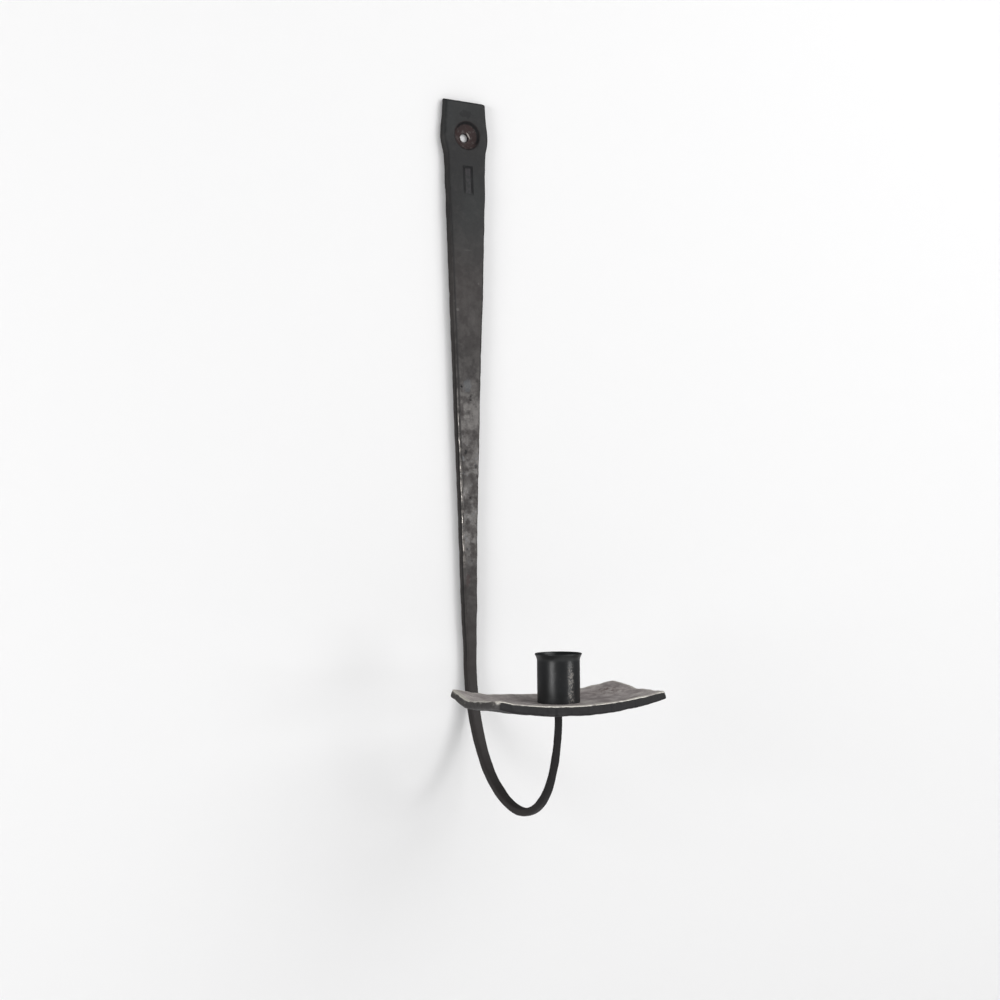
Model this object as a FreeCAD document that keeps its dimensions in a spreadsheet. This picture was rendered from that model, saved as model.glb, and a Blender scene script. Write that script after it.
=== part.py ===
"""Hand-forged wall sconce for one candle: a tapered wall bar with a hook, a drip pan and a candle cup.

The origin is the middle of the hanging eye on the wall plane (y = 0). +Z is up, and the hook reaches out
along -Y. Lengths are in millimetres and angles in degrees.
"""
import FreeCAD, Part
import math
import os
import Sketcher
from FreeCAD import Vector

# The driving dimensions: name, value, what it measures.
SIZES = [
    # Wall bar, seen from the front. Heights are measured from the middle of the eye.
    ("top_height", 23.5, "eye up to the middle of the top edge, at the wall"),
    ("top_width", 28.4, "width at the top edge"),
    ("top_skew", 1.0, "how far the top end runs down to the right"),
    ("top_slope", 2.1, "how far the top end runs down to the front"),
    ("brow_height", 9.0, "eye up to where its bulge begins"),
    ("brow_width", 30.0, "width where the bulge begins"),
    ("eye_width", 31.8, "width across the eye"),
    ("cheek_drop", 9.5, "eye down to where the bulge is half gone"),
    ("cheek_width", 28.9, "width where the bulge is half gone"),
    ("neck_drop", 18.0, "eye down to where the bulge ends"),
    ("neck_width", 26.8, "width where the bulge ends"),
    ("shoulder_drop", 36.0, "eye down to where the long taper begins"),
    ("shoulder_width", 25.6, "width where the long taper begins"),
    ("shin_drop", 280.0, "eye down to where the taper slows"),
    ("shin_width", 9.1, "width where the taper slows"),
    ("foot_width", 6.7, "width where the hook begins"),
    # Wall bar, seen from the side.
    ("top_thickness", 4.6, "thickness at the top edge"),
    ("eye_thickness", 5.4, "thickness at the eye"),
    ("neck_thickness", 6.3, "thickness where the bulge ends"),
    ("bar_thickness", 7.0, "thickness along the taper"),
    ("foot_thickness", 6.6, "thickness where the hook begins"),
    ("bar_bevel", 0.9, "worn bevel along the arrises of the bar"),
    ("back_trim", 0.2, "metal filed off the back, so that the bar lies flat on the wall"),
    # Hanging eye and the blank stamped recess under it.
    ("eye_bore", 6.0, "diameter of the nail hole"),
    ("dish_diameter", 18.8, "diameter of the dish at the front face"),
    ("eye_web", 1.4, "metal left behind the dish at the hole"),
    ("stamp_drop", 29.0, "eye down to the middle of the recess"),
    ("stamp_offset", 0.9, "how far the recess lies to the right"),
    ("stamp_length", 18.5, "length of the recess"),
    ("stamp_width", 6.8, "width of the recess"),
    ("stamp_depth", 0.8, "depth of the recess below the full thickness"),
    # Hook: four tangent arcs from the wall bar down, forward and up to the pan.
    ("reach", 115.0, "wall plane to the middle of the cup"),
    ("leave_radius", 106.0, "radius with which the bar leaves the wall"),
    ("leave_angle", 33.5, "turn of that arc"),
    ("under_radius", 64.5, "radius of the next arc"),
    ("under_angle", 44.0, "turn of that arc"),
    ("front_angle", 72.5, "turn of the tight arc at the front"),
    ("riser_radius", 86.0, "radius with which the riser comes upright"),
    ("riser_width", 4.5, "riser across its flats, under the pan"),
    ("riser_bevel", 1.1, "bevel of the riser under the pan"),
    # Riveted tenon.
    ("tenon_diameter", 3.2, "tenon through the pan and the cup"),
    ("tenon_gap", 0.1, "clearance round the tenon"),
    ("tenon_root", 1.5, "how far the tenon is counted down inside the riser"),
    ("rivet_diameter", 6.0, "head hammered over inside the cup"),
    ("rivet_height", 1.2, "height of that head"),
    # Drip pan. Lifts are measured up from the seat of the cup.
    ("seat_drop", 353.5, "eye down to the seat of the cup"),
    ("pan_length", 110.0, "pan along the wall"),
    ("pan_depth", 55.0, "pan out from the wall"),
    ("pan_thickness", 4.8, "plate between the cup and the riser"),
    ("pan_flat", 24.0, "depth of the nearly flat middle of the pan"),
    ("pan_bedding", 0.15, "how far the cup and the riser bed into the plate"),
    ("front_lift", 0.5, "lift of the front edge at its middle"),
    ("back_lift", 2.6, "lift of the back edge at its middle"),
    ("front_corner_lift", 5.5, "lift of the front corners"),
    ("back_corner_lift", 7.0, "lift of the back corners"),
    ("side_lift", 4.3, "lift of the short sides along their middle"),
    ("pan_corner", 1.6, "round of the four corners, seen from above"),
    ("pan_edge", 0.7, "worn round along the upper and lower edges"),
    # Candle cup.
    ("socket_bore", 22.2, "inside diameter, for a 7/8 inch candle"),
    ("cup_wall", 1.2, "thickness of the wall"),
    ("cup_floor", 1.2, "thickness of the floor"),
    ("cup_height", 28.4, "height over all"),
    ("flare_height", 4.4, "height of the flared rim"),
    ("flare_out", 1.3, "how far the rim stands out past the wall"),
    ("cup_corner", 0.6, "round of the outer bottom corner"),
    ("floor_corner", 1.4, "round of the inner bottom corner"),
    ("seat_gap", 0.3, "room round the cup in its seat and the riser in its bed"),
]

# Sketcher's numbers for the places on a piece of geometry, and for the sketch's own axes and origin.
START, END, CENTRE = range(1, 4)
LEVEL_AXIS, UPRIGHT_AXIS = range(-1, -3, -1)
ORIGIN = (LEVEL_AXIS, START)

doc = FreeCAD.newDocument("wall_sconce")


def make_sheet():
    """The spreadsheet that holds every driving dimension under its name."""
    sheet = doc.addObject("Spreadsheet::Sheet", "Sizes")
    for row, (name, value, note) in enumerate(SIZES, start=1):
        sheet.set(f"A{row}", name)
        sheet.set(f"B{row}", str(value))
        sheet.set(f"C{row}", note)
        sheet.setAlias(f"B{row}", name)
    doc.recompute()
    return sheet


sheet = make_sheet()


# ---- Helpers for bodies, sketches and features ----

def bound(text):
    """An expression in which each name in braces is looked up in the sheet."""
    return text.replace("{", "Sizes.").replace("}", "")


def measure(text):
    """What such an expression comes to, so that a sketch starts close to its final form."""
    return float(sheet.evalExpression(bound(text)))


def make_body(label):
    """An empty body; its label becomes the name of its file."""
    body = doc.addObject("PartDesign::Body", label)
    body.Label = label
    return body


def make_sketch(body, name, role, **moved):
    """A sketch on one of the body's own origin planes, moved along its own x, y or z."""
    sketch = body.newObject("Sketcher::SketchObject", name)
    plane = next(item for item in body.Origin.OriginFeatures if item.Role == role)
    sketch.AttachmentSupport = [(plane, "")]
    sketch.MapMode = "FlatFace"
    for axis, text in moved.items():
        sketch.setExpression(f"AttachmentOffset.Base.{axis}", bound(text))
    return sketch


def tie(sketch, kind, *where):
    """A constraint without a size."""
    sketch.addConstraint(Sketcher.Constraint(kind, *where))


def fix(sketch, name, text, kind, *where):
    """A named constraint whose size is bound to an expression."""
    number = math.radians(measure(text)) if kind == "Angle" else measure(text)
    index = sketch.addConstraint(Sketcher.Constraint(kind, *where, number))
    sketch.renameConstraint(index, name)
    sketch.setExpression(f"Constraints.{name}", bound(text))


def add_line(sketch, x1, y1, x2, y2, construction=False):
    """A straight line from its two ends."""
    return sketch.addGeometry(Part.LineSegment(Vector(x1, y1, 0), Vector(x2, y2, 0)), construction)


def add_arc(sketch, x, y, radius, first, last):
    """An arc from its centre, radius and end angles, anticlockwise."""
    circle = Part.Circle(Vector(x, y, 0), Vector(0, 0, 1), radius)
    return sketch.addGeometry(Part.ArcOfCircle(circle, math.radians(first), math.radians(last)), False)


def add_outline(sketch, points):
    """A closed outline of straight lines through points."""
    count = len(points)
    for i in range(count):
        add_line(sketch, *points[i], *points[(i + 1) % count])
    for i in range(count):
        tie(sketch, "Coincident", i, END, (i + 1) % count, START)


def add_circle(sketch, name, diameter):
    """A circle of a bound diameter about the sketch's origin."""
    circle = Part.Circle(Vector(0, 0, 0), Vector(0, 0, 1), measure(diameter) / 2)
    index = sketch.addGeometry(circle, False)
    tie(sketch, "Coincident", index, CENTRE, *ORIGIN)
    fix(sketch, name, diameter, "Diameter", index)


def cut(body, name, sketch, length=None, reverse=False):
    """A pocket of a bound length, or one that goes right through both ways."""
    doc.recompute()
    before = body.Shape.Volume
    pocket = body.newObject("PartDesign::Pocket", name)
    pocket.Profile = sketch
    if length:
        pocket.setExpression("Length", bound(length))
        pocket.Reversed = reverse
    else:
        pocket.Type = "ThroughAll"
        pocket.Midplane = True
    doc.recompute()
    if not body.Shape.Volume < before:
        raise RuntimeError(f"{body.Label}: {name} cut nothing")


# ---- The forged bar ----

def bevelled_section(body, name, height, width, thickness, bevel, back):
    """A level rectangle with bevelled corners; back is where its edge towards the wall lies."""
    sketch = make_sketch(body, name, "XY_Plane", y=back, z=height)
    half, deep, nip = measure(width) / 2, measure(thickness), measure(bevel)
    right = [(half - nip, -deep), (half, nip - deep), (half, -nip), (half - nip, 0)]
    left = [(-x, y) for x, y in reversed(right)]
    add_outline(sketch, right + left)
    for i in range(4):
        tie(sketch, "Symmetric", i, START, 6 - i, END, UPRIGHT_AXIS)
    tie(sketch, "Vertical", 1)
    tie(sketch, "PointOnObject", 3, START, LEVEL_AXIS)
    fix(sketch, "width", width, "DistanceX", 6, START, 1, START)
    fix(sketch, "thickness", thickness, "DistanceY", 0, START, 3, START)
    fix(sketch, "front_nip_x", bevel, "DistanceX", 0, START, 1, START)
    fix(sketch, "front_nip_y", bevel, "DistanceY", 0, START, 1, START)
    fix(sketch, "back_nip_x", bevel, "DistanceX", 3, START, 2, START)
    fix(sketch, "back_nip_y", bevel, "DistanceY", 2, START, 3, START)
    return sketch


def bar_section(body, name, height, width, thickness):
    """A section of the wall bar, thicker at the back by what is filed off later."""
    return bevelled_section(body, name, height, width, thickness + " + {back_trim}", "{bar_bevel}",
                            back="{back_trim}")


def hook_line(body):
    """The middle line of the hook, in the plane across the wall: four tangent arcs."""
    sketch = make_sketch(body, "HookLine", "YZ_Plane")
    turns = [measure("{leave_angle}"), measure("{under_angle}"), measure("{front_angle}")]
    turned = [math.radians(sum(turns[:i])) for i in range(4)] + [math.pi]
    forward = [math.cos(turned[i]) - math.cos(turned[i + 1]) for i in range(4)]
    down = [math.sin(turned[i + 1]) - math.sin(turned[i]) for i in range(4)]
    radii = [measure("{leave_radius}"), measure("{under_radius}"), 0, measure("{riser_radius}")]
    covered = sum(r * f for r, f in zip(radii, forward))
    radii[2] = (measure("{reach} - {foot_thickness} / 2") - covered) / forward[2]
    x = -measure("{foot_thickness} / 2")
    y = sum(r * d for r, d in zip(radii, down)) - measure("{seat_drop} + {pan_thickness}")
    for i, radius in enumerate(radii):
        centre = (x - radius * math.cos(turned[i]), y + radius * math.sin(turned[i]))
        add_arc(sketch, *centre, radius, -math.degrees(turned[i + 1]), -math.degrees(turned[i]))
        x, y = x - radius * forward[i], y - radius * down[i]
    for i in range(3):
        tie(sketch, "Tangent", i, START, i + 1, END)
    tie(sketch, "Horizontal", 0, CENTRE, 0, END)
    tie(sketch, "Horizontal", 3, CENTRE, 3, START)
    fix(sketch, "start_out", "{foot_thickness} / 2", "DistanceX", 0, END, *ORIGIN)
    fix(sketch, "end_out", "{reach}", "DistanceX", 3, START, *ORIGIN)
    fix(sketch, "end_drop", "{seat_drop} + {pan_thickness}", "DistanceY", 3, START, *ORIGIN)
    for i, part in ((0, "leave"), (1, "under"), (3, "riser")):
        fix(sketch, part + "_radius", "{%s_radius}" % part, "Radius", i)
    for i, part in enumerate(("leave", "under", "front")):
        fix(sketch, part + "_angle", "{%s_angle}" % part, "Angle", i)
    number = sketch.addConstraint(Sketcher.Constraint("DistanceY", 0, END, *ORIGIN, 1.0))
    sketch.setDriving(number, False)
    sketch.renameConstraint(number, "start_drop")
    return sketch


def add_loft(body, name, sections, ruled):
    """A loft through level sections, smooth or with straight sides."""
    loft = body.newObject("PartDesign::AdditiveLoft", name)
    loft.Profile = sections[0]
    loft.Sections = sections[1:]
    loft.Ruled = ruled


def make_hook_bar():
    """The one forging: eye, blank recess, long taper, hook, riser and riveted tenon."""
    body = make_body("hook_bar")
    stations = [
        ("Top", "{top_height} + {top_skew} / 2", "{top_width}", "{top_thickness}"),
        ("Brow", "{brow_height}", "{brow_width}", "({top_thickness} + {eye_thickness}) / 2"),
        ("Eye", "0", "{eye_width}", "{eye_thickness}"),
        ("Cheek", "-{cheek_drop}", "{cheek_width}", "({eye_thickness} + {neck_thickness}) / 2"),
        ("Neck", "-{neck_drop}", "{neck_width}", "{neck_thickness}"),
        ("Shoulder", "-{shoulder_drop}", "{shoulder_width}", "{bar_thickness}"),
        ("Shin", "-{shin_drop}", "{shin_width}", "{bar_thickness}"),
    ]
    bar = [bar_section(body, *station) for station in stations]
    line = hook_line(body)
    doc.recompute()
    foot = bar_section(body, "Foot", "-HookLine.Constraints.start_drop", "{foot_width}", "{foot_thickness}")
    riser = bevelled_section(body, "RiserEnd", "-{seat_drop} - {pan_thickness}", "{riser_width}",
                             "{riser_width}", "{riser_bevel}", back="{riser_width} / 2 - {reach}")
    add_loft(body, "Crown", bar[:2], ruled=True)
    add_loft(body, "Bulge", bar[1:5], ruled=False)
    add_loft(body, "Taper", bar[4:] + [foot], ruled=True)
    doc.recompute()
    hook = body.newObject("PartDesign::AdditivePipe", "Hook")
    hook.Profile = foot
    hook.Spine = (line, ["Edge1", "Edge2", "Edge3", "Edge4"])
    hook.Transformation = "Multisection"
    hook.Sections = [riser]
    doc.recompute()
    add_tenon(body)
    cut(body, "FlatBack", back_outline(body))
    cut_slope(body, "Skew", "XZ_Plane", 1, "{eye_width}", "{top_skew}")
    cut_slope(body, "Slope", "YZ_Plane", -1, "{top_thickness} * 4", "{top_slope} * 4")
    cut_dish(body)
    cut(body, "NailHole", nail_hole(body))
    cut(body, "Stamp", stamp_outline(body), "{bar_thickness}", reverse=True)
    return body


def add_tenon(body):
    """The tenon on the riser's end and its hammered head, turned about the middle of the cup."""
    sketch = make_sketch(body, "TenonOutline", "YZ_Plane", x="-{reach}", y="{cup_floor} - {seat_drop}")
    thin, wide = measure("{tenon_diameter}") / 2, measure("{rivet_diameter}") / 2
    low = -measure("{cup_floor} + {pan_thickness} + {tenon_root}")
    high = measure("{rivet_height}")
    radius = (wide ** 2 + high ** 2) / (2 * high)
    add_line(sketch, 0, high, 0, low)
    add_line(sketch, 0, low, thin, low)
    add_line(sketch, thin, low, thin, 0)
    add_line(sketch, thin, 0, wide, 0)
    edge = math.degrees(math.atan2(radius - high, wide))
    add_arc(sketch, 0, high - radius, radius, edge, 90)
    for i in range(3):
        tie(sketch, "Coincident", i, END, i + 1, START)
    tie(sketch, "Coincident", 3, END, 4, START)
    tie(sketch, "Coincident", 4, END, 0, START)
    tie(sketch, "PointOnObject", 0, START, UPRIGHT_AXIS)
    tie(sketch, "PointOnObject", 0, END, UPRIGHT_AXIS)
    tie(sketch, "Horizontal", 1)
    tie(sketch, "Vertical", 2)
    tie(sketch, "PointOnObject", 3, START, LEVEL_AXIS)
    tie(sketch, "PointOnObject", 3, END, LEVEL_AXIS)
    tie(sketch, "PointOnObject", 4, CENTRE, UPRIGHT_AXIS)
    fix(sketch, "root", "{cup_floor} + {pan_thickness} + {tenon_root}", "DistanceY", 0, END, *ORIGIN)
    fix(sketch, "tenon", "{tenon_diameter} / 2", "DistanceX", *ORIGIN, 3, START)
    fix(sketch, "head", "{rivet_diameter} / 2", "DistanceX", *ORIGIN, 3, END)
    fix(sketch, "head_height", "{rivet_height}", "DistanceY", *ORIGIN, 0, START)
    turn = body.newObject("PartDesign::Revolution", "Tenon")
    turn.Profile = sketch
    turn.ReferenceAxis = (sketch, ["V_Axis"])
    turn.Angle = 360
    doc.recompute()


def back_outline(body):
    """What is filed off behind the wall plane, over the whole height."""
    sketch = make_sketch(body, "FlatBackOutline", "YZ_Plane")
    deep, high, low = measure("{back_trim} * 2"), measure("{top_height} * 2"), measure("{seat_drop} * 2")
    add_outline(sketch, [(0, -low), (deep, -low), (deep, high), (0, high)])
    tie(sketch, "Horizontal", 0)
    tie(sketch, "Vertical", 1)
    tie(sketch, "Horizontal", 2)
    tie(sketch, "PointOnObject", 0, START, UPRIGHT_AXIS)
    tie(sketch, "PointOnObject", 3, START, UPRIGHT_AXIS)
    fix(sketch, "deep", "{back_trim} * 2", "DistanceX", 0, START, 0, END)
    fix(sketch, "high", "{top_height} * 2", "DistanceY", *ORIGIN, 3, START)
    fix(sketch, "low", "{seat_drop} * 2", "DistanceY", 0, START, *ORIGIN)
    return sketch


def cut_slope(body, name, role, low_side, run, rise):
    """Cuts the top end at a slant: over its whole run the cut falls by its rise, to the low side."""
    sketch = make_sketch(body, name + "Outline", role, y="{top_height}")
    low_x, high_y = low_side * measure(run) / 2, measure(rise) / 2
    add_outline(sketch, [(low_x, -high_y), (-low_x, high_y), (-low_x, high_y * 3), (low_x, high_y * 3)])
    tie(sketch, "Symmetric", 0, START, 0, END, *ORIGIN)
    tie(sketch, "Vertical", 1)
    tie(sketch, "Horizontal", 2)
    tie(sketch, "Vertical", 3)
    fix(sketch, "run", run, "Distance", 2)
    fix(sketch, "rise", rise, "DistanceY", 0, START, 0, END)
    fix(sketch, "clear", rise, "DistanceY", 1, START, 1, END)
    cut(body, name, sketch)


def cut_dish(body):
    """The dish punched round the nail hole with a ball-ended punch."""
    sketch = make_sketch(body, "DishOutline", "YZ_Plane")
    depth = "({eye_thickness} - {eye_web})"
    radius = "(({dish_diameter} / 2) ^ 2 + %s ^ 2) / (2 * %s)" % (depth, depth)
    ball, web = measure(radius), measure("{eye_web}")
    add_arc(sketch, -web - ball, 0, ball, 0, 180)
    add_line(sketch, -web - 2 * ball, 0, -web, 0)
    tie(sketch, "Coincident", 0, END, 1, START)
    tie(sketch, "Coincident", 1, END, 0, START)
    tie(sketch, "PointOnObject", 0, CENTRE, LEVEL_AXIS)
    tie(sketch, "PointOnObject", 0, START, LEVEL_AXIS)
    tie(sketch, "PointOnObject", 0, END, LEVEL_AXIS)
    fix(sketch, "ball", radius, "Radius", 0)
    fix(sketch, "web", "{eye_web}", "DistanceX", 0, START, *ORIGIN)
    before = body.Shape.Volume
    dish = body.newObject("PartDesign::Groove", "Dish")
    dish.Profile = sketch
    dish.ReferenceAxis = (sketch, ["H_Axis"])
    dish.Angle = 360
    doc.recompute()
    if not body.Shape.Volume < before:
        raise RuntimeError("the dish cut nothing")


def nail_hole(body):
    """The hole in the middle of the dish."""
    sketch = make_sketch(body, "NailHoleOutline", "XZ_Plane")
    add_circle(sketch, "bore", "{eye_bore}")
    return sketch


def stamp_outline(body):
    """The recess where a smith sets a stamp; it is left blank."""
    sketch = make_sketch(body, "StampOutline", "XZ_Plane", x="{stamp_offset}", y="-{stamp_drop}",
                         z="{bar_thickness} - {stamp_depth}")
    half, tall = measure("{stamp_width}") / 2, measure("{stamp_length}") / 2
    add_outline(sketch, [(-half, -tall), (half, -tall), (half, tall), (-half, tall)])
    tie(sketch, "Horizontal", 0)
    tie(sketch, "Vertical", 1)
    tie(sketch, "Vertical", 3)
    tie(sketch, "Symmetric", 0, START, 2, START, *ORIGIN)
    fix(sketch, "width", "{stamp_width}", "DistanceX", 0, START, 0, END)
    fix(sketch, "length", "{stamp_length}", "DistanceY", 1, START, 1, END)
    return sketch


# ---- The drip pan ----

def pan_section(body, name, forward, middle, ends):
    """The plate cut across its depth: a shallow trough, forward of the middle by so much."""
    sketch = make_sketch(body, name, "XZ_Plane", z=forward)
    half = measure("{pan_length}") / 2
    plate = "{pan_thickness} + {pan_bedding} * 2"
    tip, thick = measure(f"{ends} + {{pan_bedding}}"), measure(plate)
    sag = f"({ends} - {middle})"
    bend = f"(({{pan_length}} / 2) ^ 2 + {sag} ^ 2) / (2 * {sag})"
    radius = measure(bend)
    spread = math.degrees(math.asin(half / radius))
    rise = tip + math.sqrt(radius ** 2 - half ** 2)
    add_arc(sketch, 0, rise - thick, radius, 270 - spread, 270 + spread)
    add_line(sketch, half, tip - thick, half, tip)
    add_arc(sketch, 0, rise, radius, 270 - spread, 270 + spread)
    add_line(sketch, -half, tip - thick, -half, tip)
    tie(sketch, "Coincident", 0, END, 1, START)
    tie(sketch, "Coincident", 1, END, 2, END)
    tie(sketch, "Coincident", 0, START, 3, START)
    tie(sketch, "Coincident", 3, END, 2, START)
    tie(sketch, "Symmetric", 0, START, 0, END, UPRIGHT_AXIS)
    tie(sketch, "Symmetric", 2, START, 2, END, UPRIGHT_AXIS)
    tie(sketch, "Vertical", 1)
    tie(sketch, "Equal", 0, 2)
    fix(sketch, "length", "{pan_length}", "DistanceX", 2, START, 2, END)
    fix(sketch, "lift", f"{ends} + {{pan_bedding}}", "DistanceY", *ORIGIN, 1, END)
    fix(sketch, "plate", plate, "DistanceY", 1, START, 1, END)
    fix(sketch, "bend", bend, "Radius", 2)
    return sketch


def spot(body, name, diameter, height):
    """A circle about the middle of the pan, at a height of its own."""
    sketch = make_sketch(body, name, "XY_Plane", z=height)
    add_circle(sketch, "diameter", diameter)
    return sketch


def make_drip_pan():
    """The dished plate, with a seat for the cup, a bed for the riser and the tenon's hole."""
    body = make_body("drip_pan")
    place(body)
    stations = [
        ("FrontEdge", "{pan_depth} / 2", "{front_lift}", "{front_corner_lift}"),
        ("FrontFlat", "{pan_flat} / 2", "0", "{side_lift}"),
        ("Middle", "0", "0", "{side_lift}"),
        ("BackFlat", "-{pan_flat} / 2", "0", "{side_lift}"),
        ("BackEdge", "-{pan_depth} / 2", "{back_lift}", "{back_corner_lift}"),
    ]
    add_loft(body, "Plate", [pan_section(body, *station) for station in stations], ruled=False)
    doc.recompute()
    cut(body, "Trim", plan_outline(body))
    round_edges(body)
    cup_size = "{socket_bore} + {cup_wall} * 2 + {seat_gap} * 2"
    cut(body, "CupSeat", spot(body, "CupSeatOutline", cup_size, "0"), "{pan_thickness}", reverse=True)
    riser_size = "sqrt({riser_width} ^ 2 + ({riser_width} - {riser_bevel} * 2) ^ 2) + {seat_gap} * 2"
    bed = spot(body, "RiserBedOutline", riser_size, "-{pan_thickness}")
    cut(body, "RiserBed", bed, "{pan_thickness}")
    hole = spot(body, "TenonHoleOutline", "{tenon_diameter} + {tenon_gap} * 2", "0")
    cut(body, "TenonHole", hole)
    return body


def plan_outline(body):
    """The plate seen from above with rounded corners, inside a larger frame that is cut away."""
    sketch = make_sketch(body, "PlanOutline", "XY_Plane")
    side, front = measure("{pan_length} / 2"), measure("{pan_depth} / 2")
    corner, frame = measure("{pan_corner}"), measure("{pan_corner} * 2")
    x, y = side - corner, front - corner
    add_line(sketch, -x, -front, x, -front)
    add_line(sketch, side, -y, side, y)
    add_line(sketch, x, front, -x, front)
    add_line(sketch, -side, y, -side, -y)
    for i, (cx, cy) in enumerate([(x, -y), (x, y), (-x, y), (-x, -y)]):
        add_arc(sketch, cx, cy, corner, i * 90 - 90, i * 90)
    add_line(sketch, -side - frame, -front - frame, side + frame, -front - frame)
    add_line(sketch, side + frame, -front - frame, side + frame, front + frame)
    add_line(sketch, side + frame, front + frame, -side - frame, front + frame)
    add_line(sketch, -side - frame, front + frame, -side - frame, -front - frame)
    for i in range(4):
        tie(sketch, "Tangent", i, END, 4 + i, START)
        tie(sketch, "Tangent", 4 + i, END, (i + 1) % 4, START)
        tie(sketch, "Coincident", 8 + i, END, 8 + (i + 1) % 4, START)
        tie(sketch, "Vertical" if i % 2 else "Horizontal", 8 + i)
    for i in range(3):
        tie(sketch, "Equal", 4 + i, 5 + i)
    tie(sketch, "Horizontal", 0)
    tie(sketch, "Symmetric", 0, START, 2, START, *ORIGIN)
    tie(sketch, "Symmetric", 8, START, 10, START, *ORIGIN)
    fix(sketch, "corner", "{pan_corner}", "Radius", 4)
    fix(sketch, "length", "{pan_length}", "DistanceX", 3, START, 1, START)
    fix(sketch, "depth", "{pan_depth}", "DistanceY", 0, START, 2, START)
    fix(sketch, "frame_x", "{pan_corner} * 2", "DistanceX", 1, START, 9, START)
    fix(sketch, "frame_y", "{pan_corner} * 2", "DistanceY", 2, START, 10, START)
    return sketch


def round_edges(body):
    """The worn round along the whole upper and lower edges of the plate."""
    plate = body.Tip
    faces = plate.Shape.Faces
    largest = sorted(range(len(faces)), key=lambda i: -faces[i].Area)[:2]
    fillet = body.newObject("PartDesign::Fillet", "WornEdges")
    fillet.Base = (plate, [f"Face{i + 1}" for i in largest])
    fillet.setExpression("Radius", bound("{pan_edge}"))
    doc.recompute()


# ---- The candle cup ----

def make_candle_cup():
    """The cup turned about its own axis, with a flared rim and a hole for the tenon."""
    body = make_body("candle_cup")
    place(body)
    sketch = cup_outline(body)
    turn = body.newObject("PartDesign::Revolution", "Cup")
    turn.Profile = sketch
    turn.ReferenceAxis = (sketch, ["V_Axis"])
    turn.Angle = 360
    doc.recompute()
    return body


def cup_outline(body):
    """Half of the cup, cut down its axis."""
    sketch = make_sketch(body, "CupOutline", "XZ_Plane")
    hole = measure("{tenon_diameter} / 2 + {tenon_gap}")
    inner = measure("{socket_bore} / 2")
    wall, floor = measure("{cup_wall}"), measure("{cup_floor}")
    outer = inner + wall
    corner, bottom = measure("{cup_corner}"), measure("{floor_corner}")
    neck = measure("{cup_height} - {flare_height}")
    rise, out = measure("{flare_height}") - wall / 2, measure("{flare_out}")
    turn = 2 * math.degrees(math.atan2(out, rise))
    sweep = rise / math.sin(math.radians(turn))
    lip_x, lip_y = outer - wall / 2 + out, neck + rise
    centre_x = outer - wall / 2 + sweep
    add_line(sketch, hole, 0, outer - corner, 0)
    add_arc(sketch, outer - corner, corner, corner, -90, 0)
    add_line(sketch, outer, corner, outer, neck)
    add_arc(sketch, centre_x, neck, sweep - wall / 2, 180 - turn, 180)
    add_arc(sketch, lip_x, lip_y, wall / 2, -turn, 180 - turn)
    add_arc(sketch, centre_x, neck, sweep + wall / 2, 180 - turn, 180)
    add_line(sketch, inner, neck, inner, floor + bottom)
    add_arc(sketch, inner - bottom, floor + bottom, bottom, -90, 0)
    add_line(sketch, inner - bottom, floor, hole, floor)
    add_line(sketch, hole, floor, hole, 0)
    tie(sketch, "Tangent", 0, END, 1, START)
    tie(sketch, "Tangent", 1, END, 2, START)
    tie(sketch, "Tangent", 2, END, 3, END)
    tie(sketch, "Tangent", 3, START, 4, START)
    tie(sketch, "Tangent", 4, END, 5, START)
    tie(sketch, "Tangent", 5, END, 6, START)
    tie(sketch, "Tangent", 6, END, 7, END)
    tie(sketch, "Tangent", 7, START, 8, START)
    tie(sketch, "Coincident", 8, END, 9, START)
    tie(sketch, "Coincident", 9, END, 0, START)
    tie(sketch, "Horizontal", 0)
    tie(sketch, "Vertical", 2)
    tie(sketch, "Vertical", 6)
    tie(sketch, "Horizontal", 8)
    tie(sketch, "Vertical", 9)
    tie(sketch, "PointOnObject", 0, START, LEVEL_AXIS)
    tie(sketch, "Horizontal", 3, END, 5, END)
    fix(sketch, "hole", "{tenon_diameter} / 2 + {tenon_gap}", "DistanceX", *ORIGIN, 9, END)
    fix(sketch, "bore", "{socket_bore} / 2", "DistanceX", *ORIGIN, 6, START)
    fix(sketch, "outside", "{socket_bore} / 2 + {cup_wall}", "DistanceX", *ORIGIN, 2, START)
    fix(sketch, "floor", "{cup_floor}", "DistanceY", 9, END, 9, START)
    fix(sketch, "corner", "{cup_corner}", "Radius", 1)
    fix(sketch, "floor_corner", "{floor_corner}", "Radius", 7)
    fix(sketch, "lip", "{cup_wall} / 2", "Radius", 4)
    fix(sketch, "lip_height", "{cup_height} - {cup_wall} / 2", "DistanceY", *ORIGIN, 4, CENTRE)
    fix(sketch, "lip_out", "{socket_bore} / 2 + {cup_wall} / 2 + {flare_out}", "DistanceX", *ORIGIN, 4, CENTRE)
    fix(sketch, "neck", "{cup_height} - {flare_height}", "DistanceY", *ORIGIN, 3, END)
    return sketch


# ---- Assembly, checks and files ----

def place(body):
    """Puts a body on the axis of the cup, with its origin at the seat of the cup."""
    body.setExpression("Placement.Base.y", bound("-{reach}"))
    body.setExpression("Placement.Base.z", bound("-{seat_drop}"))


def check_model(bodies):
    """Stops if a feature failed or a piece is not one sound solid."""
    for item in doc.Objects:
        if "Invalid" in item.State or "Error" in item.State:
            raise RuntimeError(f"{item.Name} failed: {item.State}")
    for body in bodies:
        shape = body.Shape
        if shape.isNull() or not shape.isValid() or len(shape.Solids) != 1:
            raise RuntimeError(f"{body.Label} is not one sound solid")


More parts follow.
